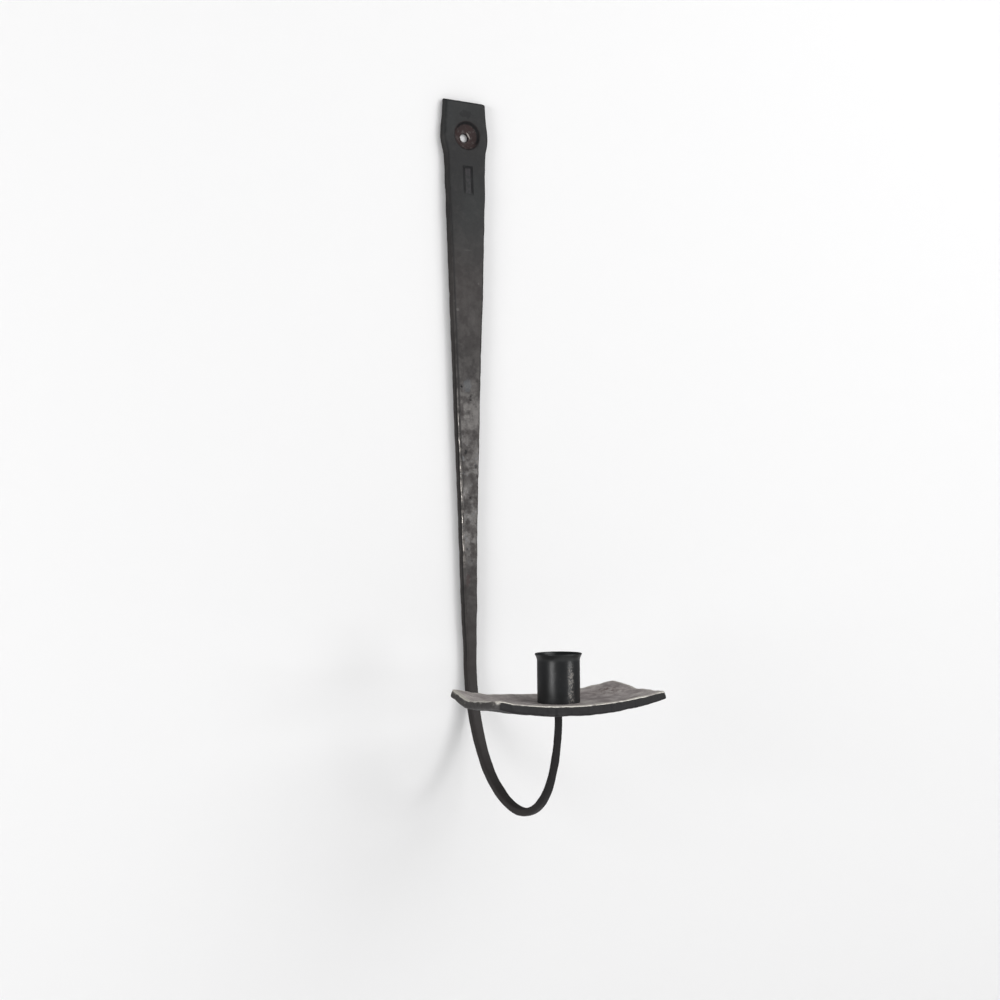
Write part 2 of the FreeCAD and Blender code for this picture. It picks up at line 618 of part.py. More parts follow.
def main():
    """Builds the three pieces, checks them and writes one file for each."""
    bodies = [make_hook_bar(), make_drip_pan(), make_candle_cup()]
    doc.recompute()
    check_model(bodies)
    os.makedirs("parts", exist_ok=True)
    for body in bodies:
        body.Shape.exportStep(f"parts/{body.Label}.step")


main()
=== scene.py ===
"""A hand-forged wall sconce for one candle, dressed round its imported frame.

The origin is the middle of the hanging eye, on the plane of the wall. +Z is up, and the hook reaches out along
-Y. Lengths are in metres.
"""
import math

import bmesh
import bpy
import numpy as np
from bpy.props import FloatProperty, FloatVectorProperty, PointerProperty
from mathutils import Matrix, Vector, noise


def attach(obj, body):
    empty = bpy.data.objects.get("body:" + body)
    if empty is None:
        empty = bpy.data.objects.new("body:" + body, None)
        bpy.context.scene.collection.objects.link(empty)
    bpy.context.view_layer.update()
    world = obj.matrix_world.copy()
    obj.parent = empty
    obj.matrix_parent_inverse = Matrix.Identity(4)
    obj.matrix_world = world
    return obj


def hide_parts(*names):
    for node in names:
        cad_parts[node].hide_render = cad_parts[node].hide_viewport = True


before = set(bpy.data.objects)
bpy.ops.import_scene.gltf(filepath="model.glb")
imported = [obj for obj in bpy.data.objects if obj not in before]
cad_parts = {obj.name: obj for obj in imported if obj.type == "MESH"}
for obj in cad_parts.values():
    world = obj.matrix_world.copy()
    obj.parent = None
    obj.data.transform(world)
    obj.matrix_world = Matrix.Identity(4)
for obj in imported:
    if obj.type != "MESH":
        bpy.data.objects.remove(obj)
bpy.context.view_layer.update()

bl_info = {
    "name": "Forged wall sconce",
    "version": (1, 0, 0),
    "blender": (4, 5, 0),
    "location": "View3D > Sidebar > Sconce",
    "description": "Forges a wall sconce with a hook, a drip plate and a candle cup",
    "category": "Add Mesh",
}

MM = 0.001

# The wall bar at each mark down its length: height over the eye, width, how far its middle lies to the right,
# and thickness, all in millimetres.
BAR_MARKS = [
    (24.5, 29.0, 0.0, 5.2),
    (18.0, 30.0, -0.1, 5.4),
    (11.5, 30.7, -0.2, 5.6),
    (7.5, 31.6, -0.2, 5.7),
    (3.7, 32.5, -0.2, 5.8),
    (0.0, 33.0, -0.2, 5.9),
    (-4.0, 32.5, -0.1, 5.9),
    (-7.2, 30.6, 0.0, 6.0),
    (-10.8, 28.8, 0.0, 6.2),
    (-17.0, 27.9, 0.0, 6.4),
    (-23.0, 27.3, 0.05, 6.6),
    (-36.0, 26.7, 0.15, 7.0),
    (-61.0, 24.9, 0.15, 7.0),
    (-87.0, 23.2, 0.2, 7.0),
    (-112.0, 21.6, 0.2, 6.9),
    (-138.0, 19.3, 0.1, 6.9),
    (-164.0, 17.4, 0.0, 7.0),
    (-190.0, 15.8, 0.05, 7.0),
    (-215.0, 13.7, 0.1, 7.0),
    (-253.0, 11.4, 0.15, 7.0),
    (-279.0, 10.1, 0.3, 7.0),
    (-305.0, 9.0, 0.6, 6.9),
    (-325.0, 7.5, 0.9, 6.8),
    (-340.0, 6.7, 1.1, 6.6),
]

# Marks on the bar's front, in millimetres: x, z, half width, half height, strength and colour.
BAR_STAINS = [
    (0.2, 14.5, 5.0, 2.4, 0.5, "deep_black"),
    (-0.3, -74.0, 3.4, 0.5, 0.15, "worn_grey"),
    (7.8, -95.0, 0.8, 0.8, 0.30, "worn_grey"),
    (-9.6, -107.0, 0.8, 0.8, 0.35, "worn_grey"),
    (-7.7, -112.6, 1.4, 1.1, 0.45, "worn_grey"),
    (2.5, -118.0, 3.0, 7.0, 0.14, "worn_grey"),
    (-1.1, -161.3, 3.5, 4.5, 0.30, "blue_grey"),
    (-5.4, -161.8, 0.9, 0.8, 0.90, "deep_black"),
    (-5.9, -175.0, 1.8, 6.0, 0.50, "warm_black"),
    (5.6, -178.0, 3.0, 9.0, 0.55, "worn_grey"),
    (-2.6, -203.5, 1.1, 1.5, 0.70, "deep_black"),
    (4.5, -212.0, 1.1, 1.8, 0.60, "deep_black"),
    (-1.4, -225.2, 2.8, 5.0, 0.45, "worn_grey"),
    (3.1, -246.0, 2.0, 7.0, 0.25, "worn_grey"),
    (3.7, -259.0, 0.9, 4.0, 0.45, "worn_grey"),
    (2.2, -268.0, 2.4, 5.0, 0.50, "warm_black"),
    (-1.9, -285.0, 1.6, 4.0, 0.50, "dish_brown"),
]

# Cracks down the plate's front edge, in millimetres: x and half width.
PLATE_CRACKS = [(-18.2, 1.3), (17.7, 0.5), (33.9, 0.4)]

# The grid over the plate: strips along its length and along its depth.
PLATE_COLUMNS = 44
PLATE_ROWS = 22


# ---- What a user would change ----

def length(name, description, default):
    """A size in metres."""
    return FloatProperty(name=name, description=description, default=default, unit="LENGTH", precision=5)


def angle(name, description, degrees):
    """An angle, given in degrees."""
    return FloatProperty(name=name, description=description, default=math.radians(degrees), subtype="ANGLE")


def number(name, description, default):
    """A plain number."""
    return FloatProperty(name=name, description=description, default=default)


def colour(name, description, default):
    """A colour in linear light."""
    return FloatVectorProperty(name=name, description=description, default=default, size=3, subtype="COLOR",
                               min=0.0, max=1.0)


class SconceBar(bpy.types.PropertyGroup):
    """Sizes of the forged bar and its hook."""
    arris: length("Arris", "Width of the round front arrises at the eye", 0.0032)
    slope: length("Slope", "How far the top end runs down to the front", 0.0021)
    skew: length("Skew", "How far the top end runs down to the right", 0.0003)
    bore: length("Bore", "Diameter of the nail hole", 0.0054)
    bore_side: length("Bore side", "How far the hole was punched off to the right", 0.0005)
    bore_rise: length("Bore rise", "How far the hole was punched off upwards", -0.0002)
    dish: length("Dish", "Diameter of the dish round the nail hole", 0.0188)
    dish_side: length("Dish side", "How far the dish lies off to the right", 0.0009)
    dish_rise: length("Dish rise", "How far the dish lies above the hole's true height", 0.0006)
    web: length("Web", "Metal left behind the dish", 0.0014)
    burr: length("Burr", "Thickness of the burr round the nail hole", 0.0008)
    recess_drop: length("Recess drop", "Eye down to the middle of the blank recess", 0.0290)
    recess_side: length("Recess side", "How far the recess lies to the right", 0.0009)
    recess_length: length("Recess length", "Length of the blank recess", 0.0185)
    recess_width: length("Recess width", "Width of the blank recess", 0.0062)
    recess_depth: length("Recess depth", "Depth of the recess at its top end", 0.0010)
    recess_lean: angle("Recess lean", "How far the recess leans", 1.2)
    foot_thickness: length("Foot thickness", "Thickness of the bar where the hook begins", 0.0066)
    riser: length("Riser", "Thickness of the riser under the plate", 0.0038)
    riser_side: length("Riser side", "How far the riser stands off to the right", -0.0003)
    reach: length("Reach", "Wall to the middle of the cup", 0.115)
    leave_radius: length("Leave radius", "Radius with which the bar leaves the wall", 0.106)
    leave_angle: angle("Leave angle", "Turn of that arc", 33.5)
    under_radius: length("Under radius", "Radius of the next arc", 0.0645)
    under_angle: angle("Under angle", "Turn of that arc", 44.0)
    front_angle: angle("Front angle", "Turn of the tight arc at the front", 72.5)
    riser_radius: length("Riser radius", "Radius with which the riser comes upright", 0.086)
    wobble: length("Wobble", "How far the hand-drawn edges wander", 0.00022)
    dents: length("Dents", "Depth of the hammer marks", 0.00022)
    scale: length("Scale", "Depth of the fine forge scale", 0.00012)
    grain: length("Grain", "Edge of the small faces of the finished mesh", 0.00056)


class SconcePlate(bpy.types.PropertyGroup):
    """Sizes of the drip plate."""
    drop: length("Drop", "Eye down to the seat of the cup", 0.3535)
    long: length("Length", "Length along the wall", 0.110)
    deep: length("Depth", "Depth out from the wall", 0.055)
    thick: length("Thickness", "Thickness of the plate in its middle", 0.0059)
    thin: length("Thinning", "How much thinner the plate is at its short sides", 0.0010)
    side_lift: length("Side lift", "How far the short sides are raised", 0.0052)
    back_lift: length("Back lift", "How far the back edge is raised", 0.0031)
    front_lift: length("Front lift", "How far the front edge is raised", 0.0011)
    edge: length("Edge", "Worn round along the edges", 0.0008)
    dents: length("Dents", "Depth of the hammer marks", 0.00055)
    scale: length("Scale", "Depth of the finer marks", 0.0003)
    grain: length("Grain", "Edge of the small faces of the finished mesh", 0.00052)


class SconceCup(bpy.types.PropertyGroup):
    """Sizes of the candle cup and its rivet."""
    bore: length("Bore", "Inside diameter", 0.0222)
    wall: length("Wall", "Thickness of the wall", 0.0012)
    floor: length("Floor", "Thickness of the floor", 0.0012)
    height: length("Height", "Height over all", 0.0284)
    flare: length("Flare", "Height of the flared rim", 0.0044)
    flare_out: length("Flare out", "How far the rim stands out past the wall", 0.0013)
    corner: length("Corner", "Round of the outer bottom corner", 0.0005)
    floor_corner: length("Floor corner", "Round of the inner bottom corner", 0.0014)
    rivet: length("Rivet", "Diameter of the rivet's head", 0.0060)
    rivet_height: length("Rivet height", "Height of the rivet's head", 0.0012)


class SconceFinish(bpy.types.PropertyGroup):
    """Colours of the iron and the paint."""
    # Forge black also paints the shade along the bar's right arris.
    forge_black: colour("Forge black", "The bar's dark scale", (0.018, 0.018, 0.0185))
    warm_black: colour("Warm black", "Brownish patches of the bar", (0.034, 0.029, 0.028))
    cool_black: colour("Cool black", "Bluish patches of the bar", (0.023, 0.0245, 0.025))
    # Worn grey also paints the light on the side faces at the plate's left end.
    worn_grey: colour("Worn grey", "Where the scale is worn thin", (0.150, 0.143, 0.138))
    # Bright iron also paints the highlight on the burr round the nail hole.
    bright_iron: colour("Bright iron", "Bare worn iron on the arrises", (0.46, 0.43, 0.40))
    # Pale iron also paints the pool of light on the plate next to the cup's foot.
    pale_iron: colour("Pale iron", "Bare iron along the rim of the plate", (0.80, 0.77, 0.70))
    plate_rust: colour("Plate rust", "Brown curls on the plate", (0.130, 0.075, 0.060))
    # Deep black also paints shade: round the dish's rim, in the nail hole and along the recess border.
    deep_black: colour("Deep black", "Soot in grooves and pits", (0.005, 0.005, 0.006))
    blue_grey: colour("Blue grey", "A bluish bloom on the bar", (0.150, 0.165, 0.180))
    dusty_plum: colour("Dusty plum", "Dust on the floor of the recess", (0.085, 0.070, 0.085))
    dish_brown: colour("Dish brown", "Reddish brown inside the dish", (0.048, 0.028, 0.027))
    plate_brown: colour("Plate brown", "Brownish grey of the drip plate", (0.530, 0.487, 0.472))
    plate_dark: colour("Plate dark", "Dark scale left on the drip plate", (0.330, 0.290, 0.285))
    cup_black: colour("Cup black", "Black paint of the cup", (0.010, 0.011, 0.012))
    wall_white: colour("Wall white", "The wall and the floor", (0.88, 0.88, 0.88))


class SconceStage(bpy.types.PropertyGroup):
    """The camera and the lights."""
    camera_place: FloatVectorProperty(name="Camera place", description="Where the camera stands", size=3,
                                      default=(-0.44255, -0.85713, -0.26304), subtype="TRANSLATION")
    camera_turn: angle("Camera turn", "How far the camera is turned to the right", 28.644)
    camera_tilt: angle("Camera tilt", "How far the camera looks up", 1.718)
    camera_roll: angle("Camera roll", "How far the camera leans", -0.499)
    lens: number("Lens", "Focal length in millimetres on a 36 mm sensor", 54.116)
    key_power: number("Key power", "Watts of the key light, high on the right", 12.5)
    side_power: number("Side power", "Watts of the light on the left", 8.5)
    strip_power: number("Strip power", "Watts of the small light low on the right", 4.0)
    world: number("World", "Strength of the light from all round", 0.445)
    mirror: number("Mirror", "How strong the light from all round looks in reflections", 0.12)


# ---- Helpers for modelling by hand ----

def deselect_all():
    """Leaves edit mode and selects nothing."""
    if bpy.context.object and bpy.context.object.mode != "OBJECT":
        bpy.ops.object.mode_set(mode="OBJECT")
    bpy.ops.object.select_all(action="DESELECT")


def begin(name, add, stretch=(1, 1, 1), **place):
    """Adds a primitive by its operator, stretches it and applies its place; it starts a piece or a tool."""
    deselect_all()
    add(**place)
    piece = bpy.context.object
    piece.name = name
    piece.data.name = name
    bpy.ops.transform.resize(value=stretch)
    bpy.ops.object.transform_apply(location=True, rotation=True, scale=True)
    return piece


def edit():
    """Opens the active piece in edit mode."""
    bpy.ops.object.mode_set(mode="EDIT")


def leave():
    """Leaves edit mode."""
    bpy.ops.object.mode_set(mode="OBJECT")


def pick(piece, kind, test):
    """Selects, in edit mode, just the vertices, edges or faces that pass a test."""
    bpy.ops.mesh.select_mode(type=kind)
    bpy.ops.mesh.select_all(action="DESELECT")
    mesh = bmesh.from_edit_mesh(piece.data)
    for item in {"VERT": mesh.verts, "EDGE": mesh.edges, "FACE": mesh.faces}[kind]:
        if test(item):
            item.select_set(True)
    mesh.select_flush_mode()
    bmesh.update_edit_mesh(piece.data)


def move(*value):
    """Moves what is selected."""
    bpy.ops.transform.translate(value=value)


def draw_out(shift, scale=(1, 1, 1), about=(0, 0, 0)):
    """Extrudes what is selected, then scales the new end about a point."""
    bpy.ops.mesh.extrude_region_move(TRANSFORM_OT_translate={"value": shift})
    bpy.ops.transform.resize(value=scale, center_override=about)


def apply(piece, modifier):
    """Applies a modifier to a piece."""
    bpy.context.view_layer.objects.active = piece
    bpy.ops.object.modifier_apply(modifier=modifier.name)


def carve(piece, tool):
    """Cuts a tool's shape out of a piece and throws the tool away."""
    deselect_all()
    cut = piece.modifiers.new("Cut", "BOOLEAN")
    cut.operation = "DIFFERENCE"
    cut.object = tool
    apply(piece, cut)
    bpy.data.objects.remove(tool)


def even_out(piece, grain):
    """Turns a piece into one closed skin of small even faces."""
    skin = piece.modifiers.new("Skin", "REMESH")
    skin.mode = "VOXEL"
    skin.voxel_size = grain
    skin.use_smooth_shade = True
    apply(piece, skin)


def relax(piece, factor, rounds):
    """Smooths a piece a little, as wear does."""
    wear = piece.modifiers.new("Wear", "SMOOTH")
    wear.factor = factor
    wear.iterations = rounds
    apply(piece, wear)


def hammer(piece, kind, spacing, depth, group=""):
    """Dents a piece with a pattern of a given spacing."""
    marks = bpy.data.textures.new("Marks", kind)
    marks.noise_scale = spacing
    dent = piece.modifiers.new("Dents", "DISPLACE")
    dent.texture = marks
    dent.texture_coords = "LOCAL"
    dent.strength = depth
    dent.mid_level = 0.5
    dent.vertex_group = group
    apply(piece, dent)


def tidy(piece):
    """Merges doubles and turns all faces outwards."""
    deselect_all()
    bpy.context.view_layer.objects.active = piece
    piece.select_set(True)
    edit()
    bpy.ops.mesh.select_all(action="SELECT")
    bpy.ops.mesh.remove_doubles(threshold=0.00001)
    bpy.ops.mesh.normals_make_consistent(inside=False)
    leave()


def coordinates(piece):
    """The vertices of a piece as rows of x, y and z."""
    places = np.empty(len(piece.data.vertices) * 3)
    piece.data.vertices.foreach_get("co", places)
    return places.reshape(-1, 3)


def store(piece, name, values):
    """Stores a number at each vertex, for the materials to read."""
    attribute = piece.data.attributes.new(name, "FLOAT", "POINT")
    attribute.data.foreach_set("value", np.asarray(values, np.float32))


def settle(piece, slot, material, *nodes):
    """Gives a piece its material and joins it to the frame."""
    piece.data.materials.clear()
    piece.data.materials.append(material)
    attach(piece, "root")
    if nodes:
        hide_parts(*nodes)


# ---- The forged bar ----

def bar_at(z):
    """Width, middle and thickness of the wall bar at a height, all in metres."""
    heights = [mark[0] * MM for mark in reversed(BAR_MARKS)]
    return [np.interp(z, heights, [mark[i] * MM for mark in reversed(BAR_MARKS)]) for i in (1, 2, 3)]


def wander(z, seed, reach=0.011):
    """A smooth wandering between -1 and 1 along the bar, as a hammered edge has."""
    return noise.noise((z / reach, seed, 0)) + 0.5 * noise.noise((z / reach * 2.3, seed, 5))


def hook_arcs(size, plate):
    """The four arcs of the hook's middle line: centre y and z, radius, start turn and end turn."""
    turned = [0, size.leave_angle, size.leave_angle + size.under_angle]
    turned += [turned[2] + size.front_angle, math.pi]
    forward = [math.cos(turned[i]) - math.cos(turned[i + 1]) for i in range(4)]
    down = [math.sin(turned[i + 1]) - math.sin(turned[i]) for i in range(4)]
    radii = [size.leave_radius, size.under_radius, 0, size.riser_radius]
    covered = sum(r * f for r, f in zip(radii, forward))
    radii[2] = (size.reach - size.foot_thickness / 2 - covered) / forward[2]
    y = -size.foot_thickness / 2
    z = sum(r * d for r, d in zip(radii, down)) - plate.drop - plate.thick
    arcs = []
    for i, radius in enumerate(radii):
        centre = (y - radius * math.cos(turned[i]), z + radius * math.sin(turned[i]))
        arcs.append((*centre, radius, turned[i], turned[i + 1]))
        y, z = y - radius * forward[i], z - radius * down[i]
    return arcs


def hook_start(arcs):
    """Height at which the hook begins."""
    return arcs[0][1]


def hook_thickness(size, share):
    """Thickness of the hook at a share of its length; most of the taper lies in its middle."""
    share = np.clip((share - 0.12) / 0.78, 0, 1)
    return size.foot_thickness + (size.riser - size.foot_thickness) * share


def draw_bar(size, arcs):
    """Draws the wall bar out of a block, down to where the hook begins."""
    top, foot = BAR_MARKS[0][0] * MM, hook_start(arcs)
    steps = 110
    heights = [top + (foot - top) * i / steps for i in range(steps + 1)]
    width, middle, thick = bar_at(top)
    bar = begin("forged_bar", bpy.ops.mesh.primitive_cube_add, (width, thick, top - heights[1]), size=1,
                location=(middle, -thick / 2, (top + heights[1]) / 2))
    edit()
    pick(bar, "FACE", lambda face: face.normal.z < -0.9)
    for above, here in zip(heights[1:], heights[2:]):
        before, after = bar_at(above), bar_at(here)
        ease = min(1.0, (here - foot) / 0.02)
        roam = [size.wobble * ease * (wander(here, seed) - wander(above, seed)) for seed in (1, 2, 3)]
        scale_x = (after[0] + roam[0]) / before[0]
        scale_y = (after[2] + roam[1]) / before[2]
        draw_out((after[1] - before[1] + roam[2], 0, here - above), (scale_x, scale_y, 1), (after[1], 0, here))
    return bar


def bend_hook(size, arcs):
    """Draws the hook on from the end of the bar, arc by arc, while it tapers to the riser."""
    whole = sum(radius * (end - start) for _, _, radius, start, end in arcs)
    drift = (size.riser_side - bar_at(hook_start(arcs))[1]) / whole
    gone = 0
    thickness = size.foot_thickness
    for y, z, radius, start, end in arcs:
        steps = round(radius * (end - start) / 0.0025)
        step = (end - start) / steps
        for i in range(steps):
            gone += radius * step
            turned = start + step * (i + 1)
            wanted = hook_thickness(size, gone / whole)
            wanted += size.wobble * (wander(gone, 7) - wander(0, 7)) * min(1, (whole - gone) / 0.01)
            ratio = wanted / thickness
            thickness = wanted
            middle = (0, y + radius * math.cos(turned), z - radius * math.sin(turned))
            bpy.ops.mesh.extrude_region_move(TRANSFORM_OT_translate={"value": (drift * radius * step, 0, 0)})
            bpy.ops.transform.rotate(value=step, orient_axis="X", center_override=(0, y, z))
            bpy.ops.transform.resize(value=(ratio, ratio, ratio), center_override=middle)
    bpy.ops.mesh.extrude_region_move(TRANSFORM_OT_translate={"value": (0, 0, 0.0012)})


def shape_top(bar, size):
    """Cuts the top end at a slant, lower to the front and to the right."""
    top = BAR_MARKS[0][0] * MM
    pick(bar, "VERT", lambda v: v.co.z > top - 0.0002 and v.co.y < -0.002)
    move(0, 0, -size.slope)
    pick(bar, "VERT", lambda v: v.co.z > top - 0.0030 and v.co.x > 0)
    move(0, 0, -size.skew)


def soften_arrises(bar, size):
    """Wears a bevel along the arrises; the front ones are rounder at the eye than down the bar."""
    heights = (-0.340, -0.040, -0.018, -0.010, -0.005, 0.004, 0.012, 0.022)
    rounds = (0.34, 0.36, 0.42, 0.62, 0.95, 1.0, 0.8, 0.55)
    mesh = bmesh.new()
    mesh.from_mesh(bar.data)
    weights = mesh.edges.layers.float.new("bevel_weight_edge")
    for edge in mesh.edges:
        if len(edge.link_faces) == 2 and edge.calc_face_angle() > math.radians(50):
            middle = (edge.verts[0].co + edge.verts[1].co) / 2
            along = abs(edge.verts[0].co.z - edge.verts[1].co.z) > 0.0005 and middle.x < 0
            edge[weights] = float(np.interp(middle.z, heights, rounds)) if along and middle.y < -0.003 else 0.3
    mesh.to_mesh(bar.data)
    mesh.free()
    bevel = bar.modifiers.new("Arrises", "BEVEL")
    bevel.limit_method = "WEIGHT"
    bevel.width = size.arris
    bevel.segments = 3
    apply(bar, bevel)


def punch_eye(bar, size):
    """Punches the dish and the nail hole, and leaves a burr round the hole."""
    face = bar_at(0.0)[2]
    depth = face - size.web
    ball = ((size.dish / 2) ** 2 + depth ** 2) / (2 * depth)
    punch = begin("punch", bpy.ops.mesh.primitive_uv_sphere_add, segments=96, ring_count=48, radius=ball,
                  location=(size.dish_side, -size.web - ball, size.dish_rise))
    carve(bar, punch)
    drill = begin("drill", bpy.ops.mesh.primitive_cylinder_add, vertices=48, radius=size.bore / 2,
                  depth=size.web * 6, location=(size.bore_side, 0, size.bore_rise), rotation=(math.pi / 2, 0, 0))
    carve(bar, drill)
    burr = begin("burr", bpy.ops.mesh.primitive_torus_add, major_segments=48, minor_segments=10,
                 major_radius=size.bore / 2 + size.burr * 0.9, minor_radius=size.burr / 2,
                 location=(size.bore_side, -size.web - size.burr * 0.6, size.bore_rise),
                 rotation=(math.pi / 2, 0, 0))
    bar.select_set(True)
    burr.select_set(True)
    bpy.context.view_layer.objects.active = bar
    bpy.ops.object.join()


def press_recess(bar, size):
    """Presses the blank recess, deep at its top end and running out at the bottom."""
    middle = -size.recess_drop
    front = -bar_at(middle)[2]
    die = begin("die", bpy.ops.mesh.primitive_cube_add, (size.recess_width, 0.004, size.recess_length), size=1)
    edit()
    pick(die, "FACE", lambda face: face.normal.y > 0.9)
    bpy.ops.mesh.inset(thickness=size.recess_width * 0.17)
    move(0, -size.recess_depth * 0.4, 0)
    leave()
    fall = math.atan2(size.recess_depth * 0.6, size.recess_length)
    turn = Matrix.Rotation(-size.recess_lean, 4, "Y") @ Matrix.Rotation(-fall, 4, "X")
    die.data.transform(turn)
    die.data.transform(Matrix.Translation((size.recess_side, front + size.recess_depth * 0.75 - 0.002, middle)))
    carve(bar, die)


def mark_arrises(bar, size, arcs):
    """Stores how far each spot of the bar is from its left side, its right side and its front."""
    places = coordinates(bar)
    width, middle, thick = bar_at(places[:, 2])
    across = places[:, 0] - middle
    through = places[:, 1] + thick / 2
    whole = sum(radius * (end - start) for _, _, radius, start, end in arcs)
    gone = 0
    for y, z, radius, start, end in arcs:
        turned = np.arctan2(-(places[:, 2] - z), places[:, 1] - y)
        turned = np.where(turned < -math.pi / 2, turned + 2 * math.pi, turned)
        inside = (turned >= start) & (turned < end) & (places[:, 2] < hook_start(arcs))
        out = np.hypot(places[:, 1] - y, places[:, 2] - z) - radius
        inside &= np.abs(out) < 0.006
        along = gone + radius * (turned - start)
        side = hook_thickness(size, along / whole)
        across = np.where(inside, places[:, 0], across)
        through = np.where(inside, out, through)
        width = np.where(inside, side, width)
        thick = np.where(inside, side, thick)
        gone += radius * (end - start)
    store(bar, "left_gap", across + width / 2)
    store(bar, "right_gap", width / 2 - across)
    store(bar, "front_gap", through + thick / 2)


class SCONCE_OT_forged_bar(bpy.types.Operator):
    """Forge the wall bar with its eye, its blank recess and its hook"""
    bl_idname = "sconce.forged_bar"
    bl_label = "Forged bar"

    def execute(self, context):
        size, plate = context.scene.sconce_bar, context.scene.sconce_plate
        arcs = hook_arcs(size, plate)
        bar = draw_bar(size, arcs)
        bend_hook(size, arcs)
        shape_top(bar, size)
        leave()
        soften_arrises(bar, size)
        punch_eye(bar, size)
        press_recess(bar, size)
        tidy(bar)
        even_out(bar, size.grain)
        relax(bar, 0.5, 2)
        hammer(bar, "CLOUDS", 0.013, size.dents)
        hammer(bar, "VORONOI", 0.008, size.dents * 0.8)
        hammer(bar, "CLOUDS", 0.0028, size.scale)
        mark_arrises(bar, size, arcs)
        settle(bar, "bar_iron", forged_iron(context.scene.sconce_finish, size), "hook_bar")
        return {"FINISHED"}


# ---- The drip plate ----

class SCONCE_OT_drip_plate(bpy.types.Operator):
    """Hammer out the drip plate, raised along its short sides and its back"""
    bl_idname = "sconce.drip_plate"
    bl_label = "Drip plate"

    def execute(self, context):
        size, bar = context.scene.sconce_plate, context.scene.sconce_bar
        plate = lay_out_plate(size, bar.reach)
        raise_plate(plate, size, bar.reach)
        thicken_plate(plate, size)
        even_out(plate, size.grain)
        relax(plate, 0.5, 3)
        hammer(plate, "CLOUDS", 0.012, size.dents)
        hammer(plate, "VORONOI", 0.0075, size.dents)
        hammer(plate, "CLOUDS", 0.0032, size.scale)
        mark_edges(plate, size, bar.reach)
        settle(plate, "pan_iron", hammered_plate(context.scene.sconce_finish, size, bar), "drip_pan")
        return {"FINISHED"}


def lay_out_plate(size, reach):
    """A flat grid over the outline of the plate, its corners nipped round."""
    plate = begin("drip_plate", bpy.ops.mesh.primitive_grid_add, (size.long, size.deep, 1), size=1,
                  x_subdivisions=PLATE_COLUMNS, y_subdivisions=PLATE_ROWS, location=(0, -reach, -size.drop))
    edit()
    for sx, sy, nip in ((-1, 1, 0.0004), (1, 1, 0.0011), (-1, -1, 0.0010), (1, -1, 0.0002)):
        corner = Vector((sx * size.long / 2, -reach + sy * size.deep / 2, -size.drop))
        pick(plate, "VERT", lambda v: (v.co - corner).length < 0.0003)
        move(-sx * nip, -sy * nip, 0)
    return plate


def raise_plate(plate, size, reach):
    """Raises the short sides, the back and the front, column by column and row by row."""
    half_long, half_deep = size.long / 2, size.deep / 2
    columns = sorted({round(v.co.x, 5) for v in bmesh.from_edit_mesh(plate.data).verts})
    for x in columns:
        pick(plate, "VERT", lambda v: abs(v.co.x - x) < 0.00002)
        move(0, 0, size.side_lift * (x / half_long) ** 2)
    rows = sorted({round(v.co.y, 5) for v in bmesh.from_edit_mesh(plate.data).verts})
    for y in rows:
        back = max(0, (y + reach) / half_deep)
        front = max(0, -(y + reach) / half_deep)
        pick(plate, "VERT", lambda v: abs(v.co.y - y) < 0.00002)
        move(0, 0, size.back_lift * back ** 2.2 + size.front_lift * front ** 2)
    # Places where one blow more raised or sank the plate: x, y from its middle, lift and reach, in millimetres.
    blows = [(-52, 24, 0.9, 12), (-54, 4, -1.2, 16), (-54, -24, 0.6, 12), (40, 26, 0.3, 9), (54, -8, 0.4, 12),
             (12, 26, -0.3, 8), (-14, 27, 0.3, 7), (-30, 26, -0.3, 8), (25, 27, 0.3, 7), (54, 16, 1.2, 19)]
    for x, y, lift, width in blows:
        spot = Vector((x * MM, y * MM - reach, -size.drop))
        near = min(bmesh.from_edit_mesh(plate.data).verts, key=lambda v: (v.co.xy - spot.xy).length)
        place = near.co.copy()
        pick(plate, "VERT", lambda v: (v.co - place).length < 0.0001)
        bpy.ops.transform.translate(value=(0, 0, lift * MM), use_proportional_edit=True,
                                    proportional_edit_falloff="SMOOTH", proportional_size=width * MM)
    leave()


def thicken_plate(plate, size):
    """Gives the plate its thickness below the laid-out face, less at the short sides, and rounds its edges."""
    body = plate.modifiers.new("Body", "SOLIDIFY")
    body.thickness = size.thick
    body.offset = -1
    apply(plate, body)
    edit()
    band = size.long / PLATE_COLUMNS
    half = PLATE_COLUMNS // 2
    for i in range(-half, half + 1):
        pick(plate, "VERT", lambda v: math.floor(v.co.x / band + 0.5) == i and v.normal.z < -0.2)
        move(0, 0, size.thin * (i / half) ** 2)
    leave()
    worn = plate.modifiers.new("Edge", "BEVEL")
    worn.limit_method = "ANGLE"
    worn.angle_limit = math.radians(45)
    worn.width = size.edge
    worn.segments = 3
    apply(plate, worn)


def mark_edges(plate, size, reach):
    """Stores how far each spot of the plate is from its nearest edge, and how far it faces up."""
    places = coordinates(plate)
    inset_x = size.long / 2 - np.abs(places[:, 0])
    inset_y = size.deep / 2 - np.abs(places[:, 1] + reach)
    inset = np.minimum(inset_x, inset_y)
    normals = np.empty(len(places) * 3)
    plate.data.vertices.foreach_get("normal", normals)
    up = normals.reshape(-1, 3)[:, 2]
    store(plate, "inset", inset)
    store(plate, "up", up)


# ---- The candle cup and its rivet ----

